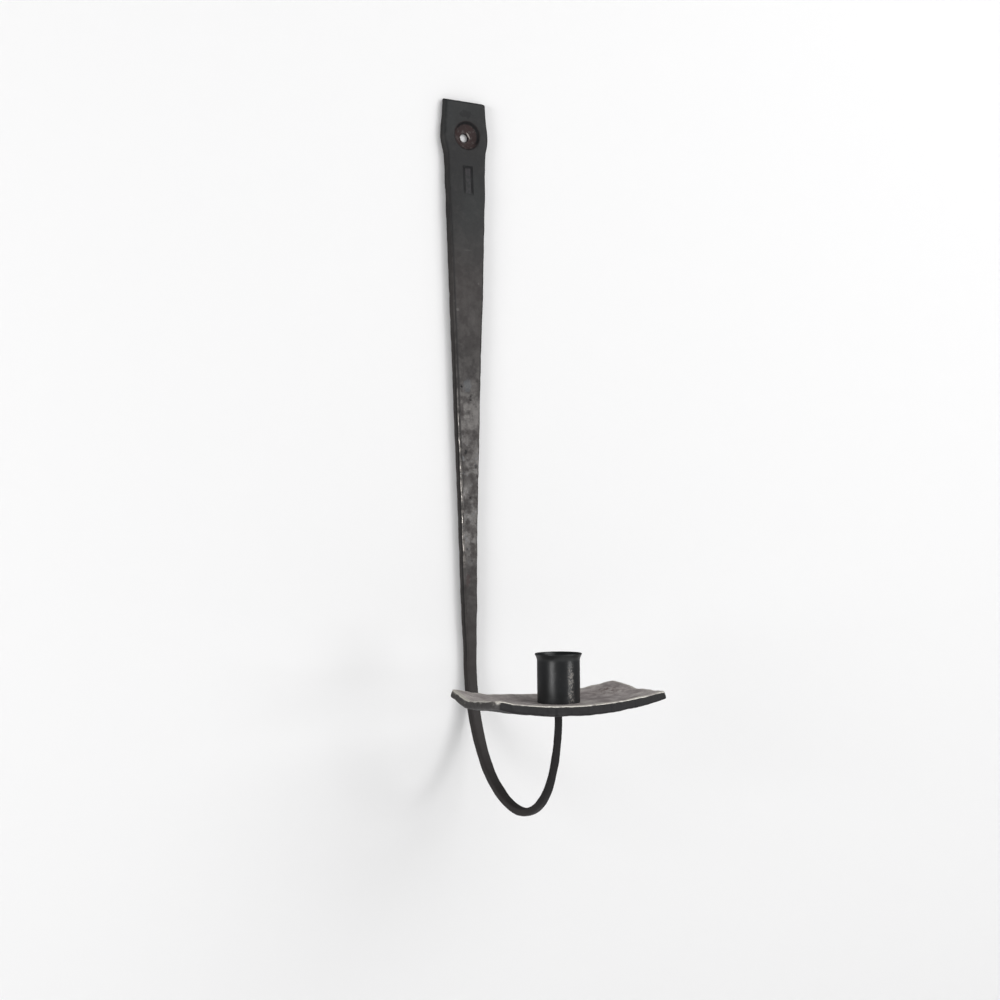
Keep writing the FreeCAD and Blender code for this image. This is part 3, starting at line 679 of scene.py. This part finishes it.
def cup_profile(size):
    """Radius and height of the cup's skin, from the middle of its foot up, over the rim and down inside."""
    inner = size.bore / 2
    outer = inner + size.wall
    neck = size.height - size.flare
    points = [(outer - size.corner, 0)]
    for i in range(1, 5):
        turn = math.pi / 2 * i / 4
        points.append((outer - size.corner + size.corner * math.sin(turn), size.corner * (1 - math.cos(turn))))
    points += [(outer, size.corner + (neck - size.corner) * i / 8) for i in range(1, 9)]
    lip = size.wall / 2
    rise = size.flare - lip
    curve = [(size.flare_out * (i / 8) ** 2, neck + rise * i / 8) for i in range(1, 9)]
    points += [(outer + out, z) for out, z in curve]
    for i in range(1, 8):
        turn = math.pi * i / 8
        points.append((outer + size.flare_out - lip + lip * math.cos(turn), neck + rise + lip * math.sin(turn)))
    points += [(inner + out, z) for out, z in reversed(curve)]
    points += [(inner, neck - (neck - size.floor - size.floor_corner) * i / 8) for i in range(0, 9)]
    for i in range(1, 6):
        turn = math.pi / 2 * i / 5
        points.append((inner - size.floor_corner * (1 - math.cos(turn)),
                       size.floor + size.floor_corner * (1 - math.sin(turn))))
    points.append((inner * 0.5, size.floor))
    return points


class SCONCE_OT_candle_cup(bpy.types.Operator):
    """Turn the candle cup out of a disc"""
    bl_idname = "sconce.candle_cup"
    bl_label = "Candle cup"

    def execute(self, context):
        size = context.scene.sconce_cup
        reach, drop = context.scene.sconce_bar.reach, context.scene.sconce_plate.drop
        points = cup_profile(size)
        cup = begin("candle_cup_shell", bpy.ops.mesh.primitive_circle_add, vertices=96, radius=points[0][0],
                    fill_type="NGON", location=(0, -reach, -drop))
        edit()
        bpy.ops.mesh.select_mode(type="FACE")
        bpy.ops.mesh.select_all(action="SELECT")
        for (r0, z0), (r1, z1) in zip(points, points[1:]):
            draw_out((0, 0, z1 - z0), (r1 / r0, r1 / r0, 1), (0, -reach, -drop + z1))
        bpy.ops.mesh.inset(thickness=size.bore * 0.1)
        leave()
        tidy(cup)
        finer = cup.modifiers.new("Finer", "SUBSURF")
        finer.levels = finer.render_levels = 1
        apply(cup, finer)
        hammer(cup, "CLOUDS", 0.007, 0.00010)
        deselect_all()
        cup.select_set(True)
        bpy.context.view_layer.objects.active = cup
        bpy.ops.object.shade_smooth()
        store(cup, "height", coordinates(cup)[:, 2] + drop)
        settle(cup, "cup_black", cup_paint(context.scene.sconce_finish, size, reach), "candle_cup")
        return {"FINISHED"}


class SCONCE_OT_rivet_head(bpy.types.Operator):
    """Hammer the rivet's head over on the floor of the cup"""
    bl_idname = "sconce.rivet_head"
    bl_label = "Rivet head"

    def execute(self, context):
        size = context.scene.sconce_cup
        reach, drop = context.scene.sconce_bar.reach, context.scene.sconce_plate.drop
        radius, high = size.rivet / 2, size.rivet_height
        ball = (radius ** 2 + high ** 2) / (2 * high)
        floor = -drop + size.floor
        head = begin("rivet_head", bpy.ops.mesh.primitive_uv_sphere_add, segments=48, ring_count=32, radius=ball,
                     location=(0, -reach, floor + high - ball))
        edit()
        bpy.ops.mesh.select_all(action="SELECT")
        bpy.ops.mesh.bisect(plane_co=(0, -reach, floor - 0.0003), plane_no=(0, 0, 1), use_fill=True,
                            clear_inner=True)
        leave()
        tidy(head)
        even_out(head, 0.00018)
        relax(head, 0.5, 3)
        hammer(head, "VORONOI", 0.0018, 0.00022)
        settle(head, "bar_iron", rivet_iron(context.scene.sconce_finish))
        return {"FINISHED"}


# ---- Materials ----

class Wire:
    """A node's output. Python's operators on it add Math nodes."""

    def __init__(self, paint, socket):
        self.paint = paint
        self.socket = socket

    def math(self, operation, *values):
        return self.paint.add("ShaderNodeMath", {"operation": operation}, dict(enumerate(values)))

    def __add__(self, other):
        return self.math("ADD", self, other)

    def __radd__(self, other):
        return self.math("ADD", other, self)

    def __sub__(self, other):
        return self.math("SUBTRACT", self, other)

    def __rsub__(self, other):
        return self.math("SUBTRACT", other, self)

    def __mul__(self, other):
        return self.math("MULTIPLY", self, other)

    def __rmul__(self, other):
        return self.math("MULTIPLY", other, self)

    def step(self, low, high):
        """0 below low, 1 above high and smooth between them; high may be the lower one."""
        if low > high:
            return 1 - self.step(high, low)
        return self.paint.add("ShaderNodeMapRange", {"interpolation_type": "SMOOTHSTEP"},
                              {0: self, 1: low, 2: high, 3: 0.0, 4: 1.0})

    def clip(self):
        """Held between 0 and 1."""
        return self.paint.add("ShaderNodeClamp", {}, {0: self})

    def root(self):
        """The square root."""
        return self.math("SQRT", self)

    def most(self, other):
        """The larger of two."""
        return self.math("MAXIMUM", self, other)


class Paint:
    """Builds the nodes of one material or world; its wires work in Python expressions."""

    def __init__(self, owner):
        owner.use_nodes = True
        self.tree = owner.node_tree
        self.tree.nodes.clear()
        self.place = self.add("ShaderNodeTexCoord", {}, {}, "Object")
        self.x, self.y, self.z = [self.add("ShaderNodeSeparateXYZ", {}, {0: self.place}, i) for i in range(3)]

    def add(self, kind, settings, sockets, output=0):
        """Adds a node: its settings first, then values or wires for its sockets."""
        node = self.tree.nodes.new(kind)
        for name, value in settings.items():
            setattr(node, name, value)
        for name, value in sockets.items():
            if isinstance(value, Wire):
                self.tree.links.new(value.socket, node.inputs[name])
            else:
                node.inputs[name].default_value = value
        return Wire(self, node.outputs[output])

    def noise(self, spacing, detail=2.0, rough=0.5, stretch=(1, 1, 1), seed=0.0):
        """Noise with a given spacing, in metres, about 0.5."""
        place = self.add("ShaderNodeMapping", {}, {0: self.place, 1: (seed, seed * 0.7, seed * 1.3), 3: stretch})
        return self.add("ShaderNodeTexNoise", {}, {"Vector": place, "Scale": 1 / spacing, "Detail": detail,
                                                   "Roughness": rough})

    def cells(self, spacing, seed=0.0):
        """Distance from the middles of random cells."""
        place = self.add("ShaderNodeMapping", {}, {0: self.place, 1: (seed, seed, seed)})
        return self.add("ShaderNodeTexVoronoi", {}, {"Vector": place, "Scale": 1 / spacing}, "Distance")

    def stored(self, name):
        """A number stored at the vertices."""
        return self.add("ShaderNodeAttribute", {"attribute_name": name}, {}, "Fac")

    def mix(self, share, first, second):
        """A colour between two, by a share."""
        colours = [c if isinstance(c, Wire) else (*c, 1.0) for c in (first, second)]
        return self.add("ShaderNodeMix", {"data_type": "RGBA"}, {0: share, 6: colours[0], 7: colours[1]}, 2)

    def near(self, x, y, z, inner, outer):
        """1 near a point, falling to 0 between two distances; any of x, y and z may be None."""
        total = 0
        for axis, value in ((self.x, x), (self.y, y), (self.z, z)):
            if value is not None:
                total = (axis - value) * (axis - value) + total
        return total.root().step(outer, inner)

    def stain(self, base, look, ragged, x, z, wide, high, share, name):
        """Mixes a ragged oval stain into a base colour. Its place and size are in millimetres."""
        across = (self.x - x * MM) * (1 / (wide * MM))
        along = (self.z - z * MM) * (1 / (high * MM))
        gap = (across * across + along * along).root() + (ragged - 0.5) * 2.2
        return self.mix(gap.step(1.2, 0.6) * share, base, getattr(look, name))

    def finish(self, colour, roughness, metallic, height, depth, **constants):
        """Joins all to the surface shader, with the height as a bump of a depth in metres."""
        bump = self.add("ShaderNodeBump", {}, {"Height": height, "Distance": depth, "Strength": 1.0})
        sockets = {"Base Color": colour, "Roughness": roughness, "Metallic": metallic, "Normal": bump}
        for name, value in constants.items():
            sockets[name.replace("_", " ")] = value
        self.output(self.add("ShaderNodeBsdfPrincipled", {}, sockets))

    def output(self, shader, kind="ShaderNodeOutputMaterial"):
        """Joins a shader to the output."""
        node = self.tree.nodes.new(kind)
        self.tree.links.new(shader.socket, node.inputs[0])


def forged_iron(look, size):
    """Dark satin forge scale with warm and cool patches, worn grey down the bar, bright on the worn arris."""
    material = bpy.data.materials.new("Forged iron")
    p = Paint(material)
    broad = p.noise(0.030, 3, 0.5, (1, 1, 0.5))
    mottled = p.noise(0.006, 4, 0.6, seed=1.7)
    fine = p.noise(0.0014, 3, 0.6, seed=3.1)
    ragged = p.noise(0.0026, 3, 0.65, seed=5.3)
    left, right, front = p.stored("left_gap"), p.stored("right_gap"), p.stored("front_gap")
    base = p.mix(broad.step(0.42, 0.60), look.cool_black, look.forge_black)
    base = p.mix((p.z.step(-0.045, -0.10) * (0.45 + broad)).clip(), base, look.warm_black)
    # Further down, more of the scale is worn thin, in blotches.
    stretch = p.z.step(-0.140, -0.180) * p.z.step(-0.296, -0.250)
    thin = p.z.step(-0.020, -0.150) * p.z.step(-0.345, -0.290) * 0.17 + stretch * 0.33
    blotch = (mottled * 0.7 + p.noise(0.013, 3, 0.6, seed=6.2) * 0.5).step(0.52, 0.66)
    worn = (thin * (0.50 + blotch * 0.95 + (ragged - 0.5) * 2.2) + mottled.step(0.45, 0.75) * 0.09).clip()
    base = p.mix(worn, base, look.worn_grey)
    pits = p.cells(0.0045, seed=2.0).step(0.20, 0.08) * p.noise(0.009, 2, seed=8.0).step(0.48, 0.60) * stretch
    base = p.mix(pits * 0.8, base, look.forge_black)
    flecks = fine.step(0.53, 0.64) * stretch * p.z.step(-0.190, -0.205) * mottled.step(0.45, 0.60)
    base = p.mix(flecks * 0.45, base, look.blue_grey)
    for row in BAR_STAINS:
        base = p.stain(base, look, ragged, *row)
    # A dark line next to the left arris, and painted shade along the rounded right arris.
    line = left.step(0.0008, 0.0013) * left.step(0.0026, 0.0017) * front.step(0.0012, 0.0006)
    base = p.mix(line * p.z.step(-0.030, -0.050) * p.z.step(-0.250, -0.210) * 0.7, base, look.forge_black)
    # Painted shade along the right arris.
    base = p.mix(right.step(0.0020, 0.0006) * p.z.step(-0.175, -0.155) * 0.6, base, look.forge_black)
    # Bare iron along the left arris, and a little on the others.
    chips = p.noise(0.0050, 3, 0.6, seed=4.4)
    corner = (left * left + front * front).root().step(0.0019, 0.0009)
    bare = corner * p.z.step(-0.150, -0.205) * p.z.step(-0.286, -0.262) * chips.step(0.42, 0.60)
    other = (right * right + front * front).root().step(0.0012, 0.0005)
    bare = bare.most(other * p.z.step(-0.160, -0.172) * p.z.step(-0.205, -0.190) * chips.step(0.35, 0.50))
    base = p.mix(bare * (0.25 + fine * 0.6), base, look.bright_iron)
    # The left side is darkest just behind its arris.
    groove = front.step(0.0009, 0.0016) * front.step(0.0036, 0.0024) * left.step(0.0020, 0.0010)
    base = p.mix(groove * p.z.step(-0.342, -0.330) * p.z.step(-0.100, -0.150) * 0.55, base, look.deep_black)
    # Higher up, that side is dusty.
    dust = front.step(0.0006, 0.0016) * left.step(0.0030, 0.0010) * p.z.step(-0.190, -0.130)
    base = p.mix(dust * (0.08 + mottled * 0.16), base, look.worn_grey)
    # Far out from the wall, the hook and its riser under the plate are darkened to near black.
    base = p.mix(p.y.step(-0.070, -0.108) * 0.75, base, look.deep_black)
    base, dish, burr = paint_eye(p, base, look, size, mottled, ragged)
    base, border = paint_recess(p, base, look, size, ragged)
    roughness = 0.58 + (mottled - 0.5) * 0.25 - worn * 0.25 + dish * 0.12 - bare * 0.15
    metallic = (0.15 + worn * 0.8 + bare * 0.5 + burr * 0.5).clip()
    height = mottled * 0.6 + fine * 0.4 - pits * 1.2 - border * 0.8
    p.finish(base, roughness, metallic, height, 0.00028, Specular_IOR_Level=0.34)
    return material


def paint_eye(p, base, look, size, mottled, ragged):
    """Rusts the dish brown, paints shadow along its upper right rim and shade in the hole, and paints a
    highlight on the burr's upper right.
    """
    x, z = p.x - size.dish_side, p.z - size.dish_rise
    out = (x * x + z * z).root()
    # Behind the face and in front of the bar's back, which stays plain.
    below = p.y.step(-0.0057, -0.0052) * p.y.step(-0.0006, -0.0010)
    dish = out.step(size.dish / 2 + 0.0005, size.dish / 2 - 0.0002) * below
    base = p.mix((dish * (0.35 + mottled * 0.9)).clip(), base, look.dish_brown)
    base = p.mix(dish * ragged.step(0.52, 0.66) * 0.35, base, look.worn_grey)
    # Painted shadow on the dish's upper right wall, and painted shade round its whole rim.
    toward = (x * 0.55 + z * 0.84) * (1 / size.dish * 2)
    rim = out.step(size.dish / 2 - 0.0025, size.dish / 2 - 0.0013) * toward.step(-0.35, 0.20)
    rim = rim.most(out.step(size.dish / 2 - 0.0011, size.dish / 2 - 0.0006) * 0.8)
    base = p.mix(dish * rim * 0.97, base, look.deep_black)
    x, z = p.x - size.bore_side, p.z - size.bore_rise
    out = (x * x + z * z).root()
    # Painted shade on the wall of the nail hole.
    base = p.mix(out.step(size.bore / 2 + 0.0004, size.bore / 2 + 0.0002) * below, base, look.deep_black)
    # A painted highlight: a bright crescent on the burr, only on its upper right side, where the light falls.
    toward = (x * 0.86 + z * 0.51) * (1 / size.bore * 2)
    crescent_highlight = out.step(size.bore / 2 + 0.0004, size.bore / 2 + 0.0006) * toward.step(1.15, 1.32)
    burr = crescent_highlight * out.step(size.bore / 2 + 0.0016, size.bore / 2 + 0.0012) * below
    base = p.mix(burr, base, look.bright_iron)
    return base, dish, burr


def paint_recess(p, base, look, size, ragged):
    """Paints shade into the border of the blank recess, most of it at its deep top end and on the right."""
    x, z = p.x - size.recess_side, p.z + size.recess_drop
    lean = math.tan(size.recess_lean)
    across, along = x + z * lean, z - x * lean
    side = across.math("ABSOLUTE", across) - size.recess_width / 2
    end = along.math("ABSOLUTE", along) - size.recess_length / 2
    gap = side.most(end)
    ahead = p.y.step(-0.0030, -0.0040)
    border = gap.step(0.0006, 0.0001) * gap.step(-0.0013, -0.0007) * ahead
    fade = along.step(-size.recess_length * 0.54, -size.recess_length * 0.30)
    border = border * fade * across.step(-0.0045, 0.0015).most(along.step(0.0060, 0.0080)).most(0.6)
    floor = gap.step(-0.0008, -0.0014) * ahead
    base = p.mix(floor * ragged.step(0.42, 0.60) * 0.18, base, look.dusty_plum)
    # The colour with painted shade in the border, and the border itself for the bump.
    return p.mix((border * (1.0 + ragged)).clip(), base, look.deep_black), border


def hammered_plate(look, size, bar):
    """Brownish grey hammered iron, dark on its edges and underside, bright along the upper arris."""
    material = bpy.data.materials.new("Hammered plate")
    p = Paint(material)
    broad = p.noise(0.016, 3, 0.55)
    mottled = p.noise(0.0042, 4, 0.65, seed=1.3)
    fine = p.noise(0.0013, 3, 0.6, seed=2.9)
    ragged = p.noise(0.0026, 3, 0.65, seed=5.3)
    up, inset = p.stored("up"), p.stored("inset")
    base = p.mix((broad * 0.5 + mottled * 0.6).step(0.42, 0.66), look.plate_dark, look.plate_brown)
    base = p.mix(fine.step(0.52, 0.75) * 0.35, base, look.worn_grey)
    # Its edges and its underside are nearly black; the side faces at the left end get painted light, a lighter
    # grey.
    side = up.step(0.70, 0.35)
    base = p.mix(side * 0.98, base, look.deep_black)
    end = p.x.step(-size.long / 2 + 0.0022, -size.long / 2 + 0.0009) * side
    base = p.mix(end * (0.15 + mottled * 0.45), base, look.worn_grey)
    front = p.y.step(-bar.reach - size.deep / 2 + 0.0016, -bar.reach - size.deep / 2 + 0.0008) * side
    low = p.z.step(-size.drop - 0.0016, -size.drop - 0.0036) * p.x.step(0.000, -0.020)
    base = p.mix(front * low * mottled.step(0.42, 0.60) * 0.12, base, look.worn_grey)
    for x, wide in PLATE_CRACKS:
        gap = p.x - x * MM + (ragged - 0.5) * 0.0012
        crack = gap.math("ABSOLUTE", gap).step(wide * MM, wide * 0.4 * MM) * front
        base = p.mix(crack * 0.85, base, look.deep_black)
    # Bare iron along the upper arris, broadest at the two front corners.
    chips = p.noise(0.0065, 3, 0.6, seed=5.5)
    wide = 0.0022 + p.near(0.006, -0.1425, None, 0.004, 0.022) * 0.0030
    arris = (inset - wide).step(0.0006, -0.0010) * up.step(0.22, 0.50)
    bare = arris * (chips.step(0.34, 0.50) * 0.75 + 0.25)
    front_edge = -bar.reach - size.deep / 2
    for x, rise, near, far in ((-0.0545, 0.0062, 0.0006, 0.0025), (0.0548, 0.0072, 0.0008, 0.0030)):
        worn_corner = p.near(x, front_edge + 0.0004, -size.drop + rise, near, far)
        bare = bare.most(worn_corner * (0.45 + chips.step(0.30, 0.55) * 0.55))
    base = p.mix((bare * (0.65 + fine * 0.6)).clip(), base, look.pale_iron)
    # Lighter smears at random, and a painted pool of light on the plate next to the cup's foot.
    painted_light_by_foot = p.near(0.0140, -bar.reach - 0.0065, None, 0.001, 0.010)
    light = (ragged.step(0.52, 0.64) * broad.step(0.42, 0.58)).most(painted_light_by_foot * mottled.step(0.30, 0.55))
    base = p.mix(light * up.step(0.6, 0.9) * 0.45, base, look.pale_iron)
    curls = p.near(0.040, -0.103, None, 0.004, 0.013) * ragged.step(0.50, 0.42) * up.step(0.6, 0.9)
    base = p.mix(curls * 0.55, base, look.plate_rust)
    roughness = 0.50 + (mottled - 0.5) * 0.3 - bare * 0.08
    metallic = (0.25 + bare * 0.25 - side * 0.2).clip()
    p.finish(base, roughness, metallic, mottled * 0.6 + fine * 0.5, 0.0003, Specular_IOR_Level=0.3)
    return material


def cup_paint(look, size, reach):
    """Glossy black paint over thin metal, dulled near its foot and rubbed through in a few spots."""
    material = bpy.data.materials.new("Cup paint")
    p = Paint(material)
    mottled = p.noise(0.0030, 4, 0.6)
    speck = p.noise(0.0011, 3, 0.6, seed=3.3)
    height = p.stored("height")
    flank = p.near(0.0010, -reach - 0.01225, None, 0.0008, 0.0027)
    rubbed = speck.step(0.46, 0.62) * flank * height.step(size.height * 0.85, size.height * 0.6)
    rubbed = rubbed.most(speck.step(0.66, 0.76) * 0.3)
    base = p.mix(rubbed * 0.45, look.cup_black, look.bright_iron)
    foot = height.step(0.0050, 0.0005)
    roughness = 0.26 + mottled * 0.12 + rubbed * 0.2 + foot * 0.2
    p.finish(base, roughness, rubbed * 0.5, mottled * 0.5 + speck * 0.3, 0.00008)
    return material


def rivet_iron(look):
    """The hammered head of the rivet: dark in its hollows, bright on its facets."""
    material = bpy.data.materials.new("Rivet iron")
    p = Paint(material)
    mottled = p.noise(0.0012, 3, 0.6)
    base = p.mix(mottled.step(0.40, 0.62), look.forge_black, look.worn_grey)
    p.finish(base, 0.42 + (mottled - 0.5) * 0.3, 0.6 + mottled * 0.2, mottled, 0.0001)
    return material


# ---- The stage ----

def one_way_white(look):
    """A pale matt surface that camera rays pass through from behind."""
    material = bpy.data.materials.new("Pale wall")
    p = Paint(material)
    flat = p.add("ShaderNodeBsdfDiffuse", {}, {0: (*look.wall_white, 1)})
    clear = p.add("ShaderNodeBsdfTransparent", {}, {})
    behind = p.add("ShaderNodeNewGeometry", {}, {}, "Backfacing")
    p.output(p.add("ShaderNodeMixShader", {}, {0: behind, 1: flat, 2: clear}))
    return material


def add_sheet(name, width, place, turn, material):
    """A large flat sheet of the stage."""
    sheet = begin(name, bpy.ops.mesh.primitive_plane_add, size=width, location=place, rotation=turn)
    sheet.data.materials.append(material)
    return sheet


def add_lamp(name, place, target, width, power):
    """A square soft light that faces a point."""
    bpy.ops.object.light_add(type="AREA", location=place)
    lamp = bpy.context.object
    lamp.name = name
    lamp.data.size = width
    lamp.data.energy = power
    lamp.rotation_euler = (Vector(target) - Vector(place)).to_track_quat("-Z", "Y").to_euler()


def set_world(strength, mirror):
    """Even light from all round; the camera sees it white, and reflections see it darker."""
    world = bpy.data.worlds.new("Studio")
    bpy.context.scene.world = world
    p = Paint(world)
    camera = p.add("ShaderNodeLightPath", {}, {}, "Is Camera Ray")
    glossy = p.add("ShaderNodeLightPath", {}, {}, "Is Glossy Ray")
    level = strength + glossy * (mirror - strength)
    level = level + camera * (1.0 - level)
    background = p.add("ShaderNodeBackground", {}, {"Color": (0.97, 0.965, 0.97, 1), "Strength": level})
    p.output(background, "ShaderNodeOutputWorld")


class SCONCE_OT_stage(bpy.types.Operator):
    """Set up the wall, the floor, the lights and the camera"""
    bl_idname = "sconce.stage"
    bl_label = "Stage"

    def execute(self, context):
        size, look = context.scene.sconce_stage, context.scene.sconce_finish
        white = one_way_white(look)
        wall = add_sheet("wall", 8, (0, 0.0006, 0), (math.pi / 2, 0, 0), white)
        wall.visible_diffuse = False
        wall.visible_glossy = False
        wall.visible_shadow = False
        add_sheet("floor", 8, (0, 0, -0.75), (0, 0, 0), white)
        target = (0, -0.05, -0.25)
        add_lamp("key", (0.75, -1.25, 0.65), target, 1.3, size.key_power)
        add_lamp("side", (-1.40, -0.72, -0.20), target, 0.6, size.side_power)
        add_lamp("strip", (0.90, -1.48, -0.35), target, 0.4, size.strip_power)
        set_world(size.world, size.mirror)
        add_camera(size)
        context.scene.view_settings.view_transform = "Standard"
        return {"FINISHED"}


def add_camera(size):
    """The camera, turned to the right, tilted up and leaning a little."""
    bpy.ops.object.camera_add(location=size.camera_place)
    camera = bpy.context.object
    camera.name = "camera"
    turn = Matrix.Rotation(-size.camera_turn, 4, "Z") @ Matrix.Rotation(math.pi / 2 + size.camera_tilt, 4, "X")
    camera.rotation_euler = (turn @ Matrix.Rotation(size.camera_roll, 4, "Z")).to_euler()
    camera.data.lens = size.lens
    camera.data.sensor_width = 36
    camera.data.clip_start = 0.01
    bpy.context.scene.camera = camera


# ---- The add-on ----

class SCONCE_PT_panel(bpy.types.Panel):
    """Lists the sconce's settings and operators"""
    bl_idname = "SCONCE_PT_panel"
    bl_label = "Forged wall sconce"
    bl_space_type = "VIEW_3D"
    bl_region_type = "UI"
    bl_category = "Sconce"

    def draw(self, context):
        for name, operators in STEPS:
            box = self.layout.box()
            group = getattr(context.scene, name)
            for key in group.__annotations__:
                box.prop(group, key)
            for operator in operators:
                box.operator(operator)


GROUPS = {
    "sconce_bar": SconceBar,
    "sconce_plate": SconcePlate,
    "sconce_cup": SconceCup,
    "sconce_finish": SconceFinish,
    "sconce_stage": SconceStage,
}
STEPS = [
    ("sconce_finish", []),
    ("sconce_bar", ["sconce.forged_bar"]),
    ("sconce_plate", ["sconce.drip_plate"]),
    ("sconce_cup", ["sconce.candle_cup", "sconce.rivet_head"]),
    ("sconce_stage", ["sconce.stage"]),
]
CLASSES = [*GROUPS.values(), SCONCE_OT_forged_bar, SCONCE_OT_drip_plate, SCONCE_OT_candle_cup,
           SCONCE_OT_rivet_head, SCONCE_OT_stage, SCONCE_PT_panel]


def register():
    for item in CLASSES:
        bpy.utils.register_class(item)
    for name, group in GROUPS.items():
        setattr(bpy.types.Scene, name, PointerProperty(type=group))


def unregister():
    for name in GROUPS:
        delattr(bpy.types.Scene, name)
    for item in reversed(CLASSES):
        bpy.utils.unregister_class(item)


def main():
    """Makes every piece and the stage."""
    register()
    bpy.ops.sconce.forged_bar()
    bpy.ops.sconce.drip_plate()
    bpy.ops.sconce.candle_cup()
    bpy.ops.sconce.rivet_head()
    bpy.ops.sconce.stage()


if __name__ == "__main__":
    main()
